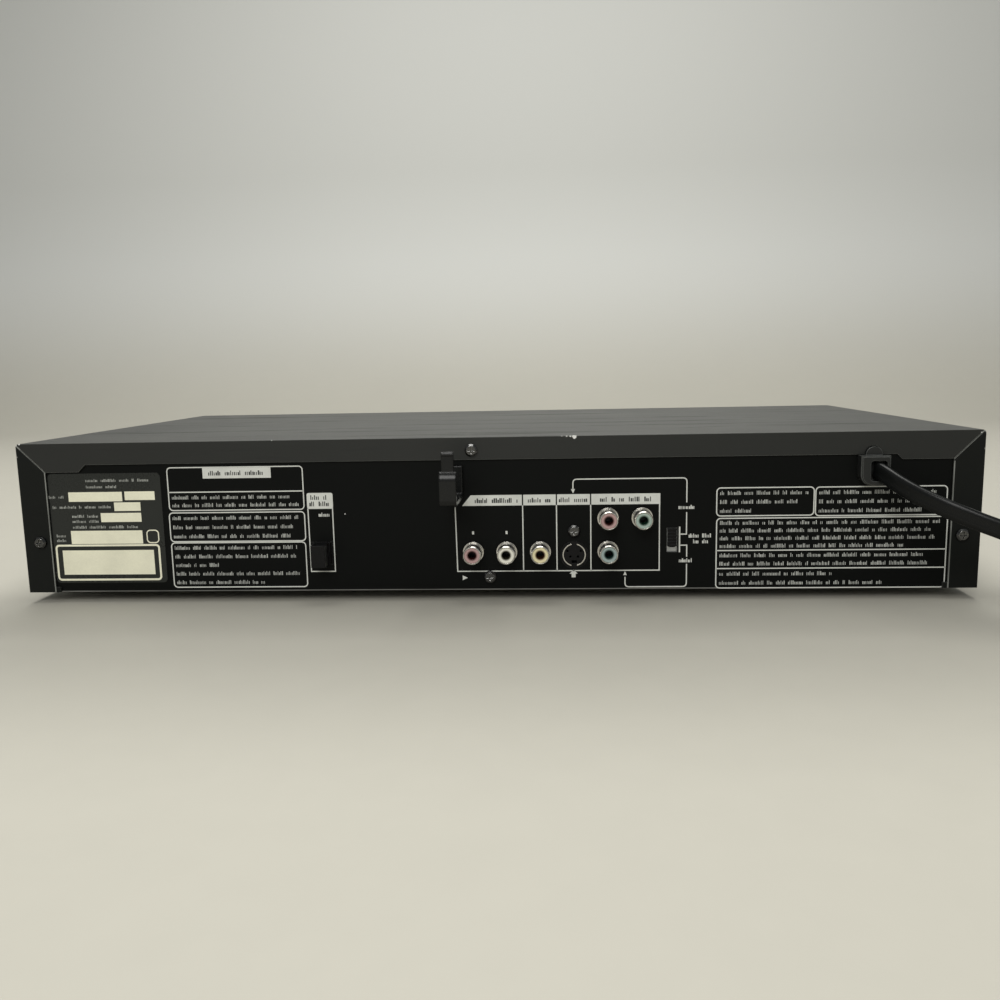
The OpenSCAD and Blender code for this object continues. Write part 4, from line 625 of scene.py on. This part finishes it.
def enamel(name, color, rough, chips, scuffs, specular, edge=(0.16, 0.165, 0.155)):
    """Paint whose scuffs are long stretched noise in X, with ragged bare spots at the given places."""
    # The edge colour on rubbed edges is partly paint rubbed thin, partly a painted highlight
    material = finish(name, color, rough=rough, drift=0.10, rough_drift=0.05, fine=1500.0, broad=9.0,
                      depth=0.02, round_mm=0.35, rub_glint=2.2, rub_glint_color=edge, patch=35.0, specular=specular)
    tree, shader, place = opened(material)
    ragged = add(tree, "TexNoise", {"Scale": 1500.0, "Detail": 3.0}, {"Vector": place})
    spots = []
    for (x, y, z), size in chips:
        spot = add(tree, "VectorMath", {1: tuple(mm(x, y, z))}, {0: place}, operation="DISTANCE")
        reach = times(tree, ragged.outputs[0], 2.4 * size * MM)
        inside = math_node(tree, "SUBTRACT", spot.outputs["Value"], reach)
        spots.append(math_node(tree, "LESS_THAN", inside, 0.0))
    stretched = add(tree, "Mapping", {"Scale": (7.0, 70.0, 70.0), "Rotation": (0.0, 0.0, 0.12)},
                    {"Vector": place})
    streaks = add(tree, "TexNoise", {"Scale": 1.0, "Detail": 8.0, "Roughness": 0.75},
                  {"Vector": stretched.outputs[0]})
    marks = add(tree, "MapRange", {"From Min": 0.55, "From Max": 0.68, "To Max": scuffs},
                {"Value": streaks.outputs[0]}).outputs[0]
    scuffed = blend(tree, marks, feed(shader, "Base Color"), tint(color, 0.4))
    chipped = blend(tree, chained(tree, "MAXIMUM", spots), scuffed, BARE_STEEL)
    dulled = math_node(tree, "ADD", feed(shader, "Roughness"), times(tree, marks, 0.35), clamp=True)
    tree.links.new(chipped, shader.inputs["Base Color"])
    tree.links.new(dulled, shader.inputs["Roughness"])
    return material


def line_mask(tree, distance, half_width):
    """1 where a distance from a line, in metres, is under half the line's width in mm."""
    return math_node(tree, "LESS_THAN", math_node(tree, "ABSOLUTE", distance), half_width * MM)


def mitred_ends(material):
    """Past each mitre the flange is folded apart and leans a little: a painted shade darkens it, with less
    gloss, and a painted highlight runs along its raw edges.
    """
    tree, shader, place = opened(material)
    x, y, z = add(tree, "SeparateXYZ", links={0: place}).outputs
    wide = math_node(tree, "ABSOLUTE", x)
    sides = {"From Min": -MM, "From Max": MM, "To Min": MITRES[0] * MM, "To Max": MITRES[1] * MM}
    corner = add(tree, "MapRange", sides, {"Value": x})
    past = math_node(tree, "SUBTRACT", math_node(tree, "SUBTRACT", wide, z), corner.outputs[0])
    on_flange = math_node(tree, "GREATER_THAN", y, FLANGE_Y * MM)
    above = math_node(tree, "GREATER_THAN", z, CORNER_Z * MM)
    below = math_node(tree, "SUBTRACT", 1.0, above)
    mitre = times(tree, line_mask(tree, past, half_width=0.38), above)
    from_inner = math_node(tree, "SUBTRACT", wide, INNER_X * MM)
    inner = times(tree, line_mask(tree, from_inner, half_width=0.3), below)
    glint_breakup = add(tree, "TexNoise", {"Scale": 90.0, "Detail": 3.0}, {"Vector": place})
    line = times(tree, math_node(tree, "MAXIMUM", mitre, inner), on_flange)
    line = times(tree, line, glint_breakup.outputs[0])
    # Painted shade on the flange past each mitre, and a painted highlight where the raw mitre and inner edges
    # catch the light, broken up by a noise
    side = times(tree, math_node(tree, "GREATER_THAN", past, 0.0), on_flange)
    shade = blend(tree, times(tree, side, 0.75), feed(shader, "Base Color"), (0.006, 0.007, 0.0062, 1.0))
    tree.links.new(blend(tree, line, shade, (0.42, 0.43, 0.40, 1.0)), shader.inputs["Base Color"])
    level = add(tree, "MapRange", {"To Min": 0.42, "To Max": 0.14}, {"Value": side})
    tree.links.new(level.outputs[0], shader.inputs["Specular IOR Level"])
    return material


def bare_and_lit_foot(material, height):
    """The lowest strip, up to a height in mm, turns light grey: partly steel rubbed bare, partly a painted
    highlight where the folded lower edge catches the light; a noise leaves some paint.
    """
    tree, shader, place = opened(material)
    z = add(tree, "SeparateXYZ", links={0: place}).outputs["Z"]
    noise = add(tree, "TexNoise", {"Scale": 55.0, "Detail": 4.0}, {"Vector": place})
    mask = times(tree, math_node(tree, "LESS_THAN", z, height * MM), noise.outputs[0])
    # Bare steel and painted highlight along the panel's lower edge
    bare = blend(tree, mask, feed(shader, "Base Color"), (0.34, 0.34, 0.32, 1.0))
    tree.links.new(bare, shader.inputs["Base Color"])
    return material


case_paint = enamel("case_enamel", (0.0135, 0.0145, 0.013), rough=0.40, chips=CHIPS, scuffs=0.7,
                    specular=0.42)
dress("top_cover", mitred_ends(case_paint))
panel_paint = enamel("panel_enamel", (0.0022, 0.0027, 0.0024), rough=0.46, chips=PANEL_CHIP, scuffs=0.0,
                     specular=0.11, edge=(0.05, 0.052, 0.048))
dress("rear_panel", bare_and_lit_foot(panel_paint, 5.45))
# The screws' lighter rubbed edges are a painted glint on their heads
dress("cover_screws", finish("black_screw", (0.09, 0.09, 0.09), rough=0.12, drift=0.3, rough_drift=0.05,
                             metal=1.0, round_mm=0.25, depth=0.004, rub_glint=2.0, patch=400.0))

# %% [markdown]
# ## Sockets
# The phono shells are nickel over brass, a little dulled, and near the panel their collars
# take a painted shade. Each is closed by a moulded ring in its signal's colour, pale on its
# face and dark deep inside the bore, where the dark is painted shade. The distance from the
# socket's axis tells the shader which is which.

# %% Nickel and faded mouldings
# Six columns in two rows: white is in the low row's second column, green in the high row's last
(white_x, LOW_ROW), (green_x, HIGH_ROW) = middle_of("insert_white"), middle_of("insert_green")
COLUMN_STEP = (white_x - green_x) / 4
COLUMNS = [white_x + COLUMN_STEP * (1 - i) for i in range(6)]
ROUND_SOCKET = middle_of("s_video_core")
SHIELD_REACH = 6.0
BORE_RADIUS, FACE_RADIUS = 1.78, 2.7
COLLAR_Y = 110.7


def axis_distance(tree, place, x, z):
    """How far the place is from the line along Y through X and Z, given in mm."""
    flat = add(tree, "VectorMath", {1: (1.0, 0.0, 1.0)}, {0: place}, operation="MULTIPLY")
    away = add(tree, "VectorMath", {1: tuple(mm(x, 0, z))}, {0: flat.outputs[0]}, operation="DISTANCE")
    return away.outputs["Value"]


def socket_ring(name, face, bore, axes):
    """A moulded ring whose colour runs from a painted shade in the bore to the face's colour with the
    distance from its axis.
    """
    material = finish(name, face, rough=0.3, drift=0.07, fine=900.0, broad=200.0, depth=0.003)
    tree, shader, place = opened(material)
    away = chained(tree, "MINIMUM", [axis_distance(tree, place, x, z) for x, z in axes])
    rim = smooth_step(tree, away, BORE_RADIUS * MM, FACE_RADIUS * MM)
    tree.links.new(blend(tree, rim, tint(bore), feed(shader, "Base Color")), shader.inputs["Base Color"])
    return material


def shaded_collars(material, shade):
    """Close to the panel the phono shells' collars take a darker colour, a painted shade for the dark panel
    they reflect; the round socket's shield stays bright.
    """
    tree, shader, place = opened(material)
    y = add(tree, "SeparateXYZ", links={0: place}).outputs["Y"]
    away = axis_distance(tree, place, *ROUND_SOCKET)
    off_shield = math_node(tree, "GREATER_THAN", away, SHIELD_REACH * MM)
    # Painted shade: the collars near the panel turn dark
    shaded_collar = times(tree, math_node(tree, "LESS_THAN", y, COLLAR_Y * MM), off_shield)
    tree.links.new(blend(tree, shaded_collar, feed(shader, "Base Color"), tint(shade)), shader.inputs["Base Color"])
    return material


nickel = finish("jack_nickel", (0.62, 0.60, 0.56), rough=0.22, drift=0.1, rough_drift=0.07, metal=1.0,
                fine=800.0, broad=160.0, depth=0.002, round_mm=0.15)
dress("jack_shells", shaded_collars(nickel, (0.17, 0.165, 0.15)))
# Each ring: its face colour, the painted shade inside its bore, and the axes of its sockets
RINGS = {
    "insert_red": ((0.46, 0.30, 0.29), (0.05, 0.008, 0.006), [(COLUMNS[0], LOW_ROW), (COLUMNS[4], HIGH_ROW)]),
    "insert_white": ((0.84, 0.82, 0.72), (0.03, 0.025, 0.012), [(COLUMNS[1], LOW_ROW)]),
    "insert_yellow": ((0.80, 0.72, 0.45), (0.06, 0.02, 0.004), [(COLUMNS[2], LOW_ROW)]),
    "insert_green": ((0.36, 0.45, 0.40), (0.006, 0.035, 0.02), [(COLUMNS[5], HIGH_ROW)]),
    "insert_blue": ((0.33, 0.41, 0.40), (0.006, 0.03, 0.025), [(COLUMNS[4], LOW_ROW)]),
}
for ring, (face, bore, axes) in RINGS.items():
    dress(ring, socket_ring(ring + "_moulding", face, bore, axes))

# %% [markdown]
# ## Printing on the rear panel
# Screen printing is a thin layer of light ink. Frames and routing lines are strokes, that
# is flat ribbons along a path, some with their corners as arcs. Header bands are plates.
# Where a maker sets notes, rows of plain marks in word lengths stand in for them. All of
# it is real geometry a twentieth of a millimetre thick, so it stays sharp at any size.

# %% Strokes, plates and rows of marks
INK = 0.05
CLEAR = 0.01
PRINT_Y = PANEL_Y + CLEAR
ARC_STEPS = 6


def rounded_path(left, right, bottom, top, radius):
    """Corners of a box in X and Z, each replaced by a quarter circle."""
    t = np.linspace(0, math.pi / 2, ARC_STEPS)
    arc = radius * np.stack([np.cos(t), np.sin(t)], 1)
    x0, x1, z0, z1 = min(left, right) + radius, max(left, right) - radius, bottom + radius, top - radius
    return np.concatenate([arc * (1, 1) + (x1, z1), arc[::-1] * (-1, 1) + (x0, z1), arc * (-1, -1) + (x0, z0),
                           arc[::-1] * (1, -1) + (x1, z0)])


def bent_path(points, radius):
    """An open line in X and Z whose inner corners become arcs, each a blend of its two sides."""
    points = np.asarray(points, float)
    result = [points[:1]]
    for before, corner, after in zip(points[:-2], points[1:-1], points[2:]):
        a = corner + (before - corner) / np.linalg.norm(before - corner) * radius
        b = corner + (after - corner) / np.linalg.norm(after - corner) * radius
        t = np.linspace(0, 1, ARC_STEPS)[:, None]
        result.append(a * (1 - t) ** 2 + 2 * corner * t * (1 - t) + b * t ** 2)
    return np.concatenate(result + [points[-1:]])


def upright(flat, y):
    """Points in X and Z, set at a depth Y."""
    return np.column_stack([flat[:, 0], np.full(len(flat), y), flat[:, 1]])


def rectangle(left, right, bottom, top):
    """The outline of a box in X and Z."""
    return [(left, bottom), (left, top), (right, top), (right, bottom)]


def stroke(path, width, closed=False, base=PRINT_Y):
    """A ribbon: its sideways vector is normal to the mean direction, and long enough to keep the width."""
    path = np.asarray(path, float)
    ahead = np.roll(path, -1, 0) - path
    behind = path - np.roll(path, 1, 0)
    if not closed:
        ahead[-1], behind[0] = behind[-1], ahead[0]
    ahead /= np.linalg.norm(ahead, axis=1, keepdims=True)
    behind /= np.linalg.norm(behind, axis=1, keepdims=True)
    mean = ahead + behind
    mean /= np.linalg.norm(mean, axis=1, keepdims=True)
    side = np.stack([-mean[:, 1], mean[:, 0]], 1) * (width / 2 / np.sum(mean * ahead, axis=1, keepdims=True))
    corners = [(-1, base), (1, base), (1, base + INK), (-1, base + INK)]
    return sheet(np.stack([upright(path + s * side, y) for s, y in corners], 1), close_rows=closed)


def plate(outline, base=PRINT_Y, thick=INK):
    """A flat shape: its outline in X and Z at two depths, with a face over each."""
    outline = np.asarray(outline, float)
    return sheet(np.stack([upright(outline, y) for y in (base, base + thick)]))


def rows_of_marks(rows, height, seed, base=PRINT_Y, pitch=0.66, width=0.27):
    """Rows of thin upright ticks in word lengths. A row is (start X, end X, middle Z), from +X to -X."""
    random = np.random.default_rng(seed)
    low, high = [], []
    for start, end, z in rows:
        count = int((start - end) / pitch)
        x = start - pitch * np.arange(count)
        keep = np.ones(count, bool)
        word_end = np.cumsum(random.integers(4, 15, count))
        word_end = word_end[word_end < count - 1]
        keep[word_end] = False
        keep[word_end - 1] = False
        x = x[keep]
        tall = height * random.choice([0.66, 0.72, 1.0], len(x))
        wide = width * random.choice([0.85, 1.0, 1.45], len(x))
        low.append(np.column_stack([x - wide, np.full(len(x), base), np.full(len(x), z - height / 2)]))
        high.append(np.column_stack([x, np.full(len(x), base + INK), z - height / 2 + tall]))
    return blocks(np.concatenate(low), np.concatenate(high))


NOTE_HEIGHT, MARGIN, GAP = 1.75, 1.5, 0.3


def text_rows(left, right, bottom, top, shares, seed):
    """Evenly spaced rows inside a box; each fills its share of the width."""
    pitch = (top - bottom - 2 * GAP) / len(shares)
    wide = left - right - 2 * MARGIN
    rows = [(left - MARGIN, left - MARGIN - share * wide, top - GAP - pitch * (i + 0.5))
            for i, share in enumerate(shares)]
    return rows_of_marks(rows, NOTE_HEIGHT, seed)


# %% Frames, bands and lines
LINE = 0.5
FRAMES = [(145.6, 83.1, 42.9, 62.6), (146.0, 83.1, 28.4, 41.8), (146.0, 83.3, 6.9, 27.8),
          (-101.7, -143.8, 37.9, 50.4), (-144.5, -200.5, 37.6, 50.3), (-101.8, -201.2, 5.2, 36.8)]
DIVIDERS = [(145.6, 83.1, 51.3), (-101.8, -201.2, 22.3), (-101.8, -201.2, 14.1)]
NOTES = [(145.6, 83.1, 43.2, 51.0, (0.93, 0.99)), (146.0, 83.1, 28.4, 41.8, (0.99, 0.94, 0.92)),
         (146.0, 83.3, 6.9, 27.8, (0.97, 0.96, 0.35, 0.98, 0.70)),
         (-101.7, -143.8, 37.9, 50.4, (0.98, 0.87, 0.36)), (-144.5, -200.5, 37.6, 50.3, (0.95, 0.98, 0.84)),
         (-101.8, -201.2, 22.3, 36.8, (0.99, 0.95, 0.97, 0.83)), (-101.8, -201.2, 14.1, 22.3, (0.92, 0.94)),
         (-101.8, -201.2, 5.2, 14.1, (0.52, 0.74))]
BAND_LOW, BAND_HIGH, LINES_LOW = 43.6, 48.4, 13.6
COLUMN_LINES = (-16.0, -31.1, -46.3)


def rear_lines():
    """Every frame, divider, routing line and arrow on the rear panel."""
    lines = [stroke(rounded_path(*frame_box, 1.7), LINE, closed=True) for frame_box in FRAMES]
    lines += [stroke([(left, z), (right, z)], LINE) for left, right, z in DIVIDERS]
    # Round the sockets: open at the top, where the header band closes it
    lines.append(stroke([(14.3, 43.0), (13.9, LINES_LOW), (-76.7, LINES_LOW), (-76.7, BAND_LOW)], LINE))
    lines += [stroke([(x, LINES_LOW), (x, BAND_LOW)], LINE) for x in COLUMN_LINES]
    # Round the optical socket
    lines.append(stroke([(81.4, 43.2), (81.2, 14.0), (70.1, 14.0), (70.1, 43.2)], LINE))
    # From the switch to the two sockets it chooses between
    lines.append(stroke(bent_path([(-38.5, 50.4), (-38.5, 55.1), (-88.6, 55.1), (-88.6, 44.2)], 1.8), LINE))
    lines.append(stroke([(-88.6, 39.8), (-88.6, 29.9), (-85.8, 29.9)], LINE))
    lines.append(stroke([(-85.8, 24.9), (-88.8, 24.9), (-88.8, 19.6)], LINE))
    lines.append(stroke(bent_path([(-88.8, 16.4), (-88.8, 6.0), (-61.5, 6.0), (-61.5, 10.6)], 1.8), LINE))
    lines.append(stroke([(-85.6, 33.3), (-85.6, 21.7)], 0.62))
    lines.append(plate([(-38.5, 48.7), (-37.6, 50.7), (-39.4, 50.7)]))
    lines.append(plate([(-61.5, 13.3), (-60.7, 11.4), (-62.3, 11.4)]))
    # Arrow to the round socket, and the flag at the panel's foot
    lines.append(plate([(-38.5, 14.1), (-36.7, 12.2), (-37.6, 12.2), (-37.6, 10.5), (-39.4, 10.5),
                        (-39.4, 12.2), (-40.3, 12.2)]))
    lines.append(plate([(11.7, 11.7), (9.4, 10.6), (11.7, 9.5)]))
    return lines


def header_bands():
    """Light bands: over the sockets and cut at the column lines, on the optical frame, over a note."""
    edges = (9.6, *COLUMN_LINES, -77.0)
    cut = edges[1] + GAP
    bands = [plate([(11.2, BAND_LOW), (7.2, BAND_HIGH), (cut, BAND_HIGH), (cut, BAND_LOW)])]
    for a, b in zip(edges[1:-1], edges[2:]):
        end = b + (GAP if b > -70 else 0)
        bands.append(plate(rectangle(a - GAP, end, BAND_LOW, BAND_HIGH)))
    bands.append(plate(rounded_path(81.7, 69.8, 43.0, 50.3, 0.9)))
    bands.append(plate(rectangle(129.1, 97.6, 57.5, 62.3)))
    return bands


def ink_finish(name, color, drift, broad=14.0):
    """A dull printed ink, too thin for rounded edges."""
    return finish(name, color, drift=drift, fine=2500.0, broad=broad, depth=0.004, round_mm=0.02)


ink = ink_finish("printing_ink", (0.66, 0.67, 0.63), 0.12, 120.0)
dark_ink = ink_finish("dark_ink", (0.02, 0.022, 0.02), 0.1)
make_piece("panel_lines", rear_lines(), "chassis", ink)
make_piece("panel_bands", header_bands(), "chassis", ink)
note_ink = ink_finish("note_ink", (0.50, 0.51, 0.48), 0.25, 300.0)
notes = [text_rows(*note, seed=20 + i) for i, note in enumerate(NOTES)]
make_piece("panel_notes", notes, "chassis", note_ink)
small_rows = [(-85.0, -92.6, 42.1), (-89.6, -99.9, 29.2), (-91.6, -98.2, 26.6),
              (-85.4, -91.8, 18.0), (76.6, 70.9, 40.3)]
dots = [plate([(x + 0.45, z - 0.7), (x + 0.45, z + 0.7), (x - 0.45, z + 0.7), (x - 0.45, z - 0.7)])
        for x, z in ((6.5, 31.3), (-8.6, 31.3))]
make_piece("panel_marks", [rows_of_marks(small_rows, 1.8, 5, width=0.36)] + dots, "chassis", ink)
band_rows = [(5.4, -14.9, 45.9), (-18.4, -29.0, 45.9), (-32.2, -45.2, 45.9), (-50.4, -73.6, 45.9),
             (80.0, 71.8, 48.2), (80.6, 71.0, 45.3), (126.4, 100.6, 59.9)]
band_marks = rows_of_marks(band_rows, 2.1, 9, PRINT_Y + INK, pitch=0.85, width=0.45)
make_piece("band_marks", [band_marks], "chassis", dark_ink)

# %% [markdown]
# ## Sticker
# A dark glossy film is stuck beside the flange, with cream fields that a factory fills
# in. The fields are left blank. The film is a tenth of a millimetre thick with round
# corners, and its fields lie on it as thinner plates.

# %% Film, fields and rows
FILM = 0.1
FIELD_Y = PRINT_Y + FILM
CREAM_FIELDS = [(192.7, 167.4, 47.5, 51.9), (166.2, 152.1, 48.0, 52.0), (171.5, 159.1, 43.0, 47.0),
                (178.2, 159.1, 37.9, 42.1), (193.1, 159.2, 27.7, 33.9), (197.9, 154.5, 13.2, 24.7)]
film = finish("sticker_film", (0.016, 0.018, 0.016), rough=0.3, drift=0.15, fine=1200.0, broad=30.0,
              depth=0.006, round_mm=0.05, specular=0.35)
cream = finish("cream_field", (0.86, 0.84, 0.66), rough=0.45, drift=0.09, fine=1800.0, broad=90.0,
               depth=0.004, round_mm=0.02)
film_plate = plate(rounded_path(201.9, 149.0, 9.3, 60.5, 2.0), PRINT_Y, FILM)
make_piece("sticker", [film_plate], "chassis", film)
fields = [plate(rectangle(*field), FIELD_Y) for field in CREAM_FIELDS]
make_piece("sticker_fields", fields, "chassis", cream)
field_frames = [stroke(rounded_path(200.7, 151.9, 10.8, 27.0, 1.4), 0.9, True, FIELD_Y),
                stroke(rounded_path(157.1, 151.7, 28.1, 33.9, 1.6), 0.5, True, FIELD_Y)]
make_piece("sticker_lines", field_frames, "chassis", cream)
sticker_rows = [(184.0, 154.0, 57.2), (184.0, 169.0, 54.3), (202.0, 194.4, 49.7), (200.6, 172.8, 45.0),
                (191.8, 179.0, 40.7), (191.8, 179.0, 38.3), (191.8, 160.2, 35.6), (200.0, 195.0, 31.6),
                (200.0, 195.0, 29.4)]
faded_ink = ink_finish("faded_ink", (0.42, 0.43, 0.40), 0.2, 150.0)
make_piece("sticker_rows", [rows_of_marks(sticker_rows, 1.3, 31, base=FIELD_Y)], "chassis", faded_ink)

# %% [markdown]
# ## Marks at the front
# The controls carry the plain signs that every player uses: a ring with a bar for power,
# a triangle, a square and two skips. They are printed in the shallow band above their
# buttons. The sign for the tray is on its own button, so it rides on that body and goes
# in when the button is pressed.

# %% Signs over the buttons
BAND_Y, BUTTON_Y = -136.7, corners_of("open_button")[0][1]
SIGN_Z = 37.3
SIGN, SMALL_SIGN = 1.5, 1.1
CONTROLS = ("power_button", "open_button", "play_button", "stop_button", "skip_rocker")
POWER_X, OPEN_X, PLAY_X, STOP_X, SKIP_X = (middle_of(control)[0] for control in CONTROLS)


def front_sign(shapes, face_y):
    """Plates and strokes laid on a front face, which looks along -Y."""
    return [shape(face_y - INK - CLEAR) for shape in shapes]


def pointer(x, z, way, size=SIGN):
    """A triangle that points along X, to the right for way 1 and to the left for -1."""
    outline = [(x + way * size, z), (x - way * size * 0.8, z + size), (x - way * size * 0.8, z - size)]
    return lambda y: plate(outline, y)


def bar(x, z, wide, high):
    """An upright or level bar round its middle."""
    outline = [(x - wide, z - high), (x + wide, z - high), (x + wide, z + high), (x - wide, z + high)]
    return lambda y: plate(outline, y)


around = np.radians(np.arange(130.0, 411.0, 20.0))
power_ring = np.stack([POWER_X + SIGN * np.cos(around), SIGN_Z + SIGN * np.sin(around)], 1)
signs = [lambda y: stroke(power_ring, 0.45, base=y), bar(POWER_X, SIGN_Z + 1.2, 0.22, 0.9),
         pointer(PLAY_X, SIGN_Z, 1), bar(STOP_X, SIGN_Z, 1.3, 1.3)]
for way in (-1, 1):
    signs += [pointer(SKIP_X + way * (9 + step), SIGN_Z, way, SMALL_SIGN) for step in (0, 2)]
    signs.append(bar(SKIP_X + way * 12.5, SIGN_Z, 0.25, SMALL_SIGN))
make_piece("front_signs", front_sign(signs, BAND_Y), "chassis", ink)
open_arrow = [(OPEN_X - 1.8, 52.1), (OPEN_X + 1.8, 52.1), (OPEN_X, 54.1)]
tray_sign = [lambda y: plate(open_arrow, y), bar(OPEN_X, 50.9, 1.8, 0.35)]
make_piece("tray_sign", front_sign(tray_sign, BUTTON_Y), "open_button", dark_ink)
print("signs at the front:", len(signs) + len(tray_sign))
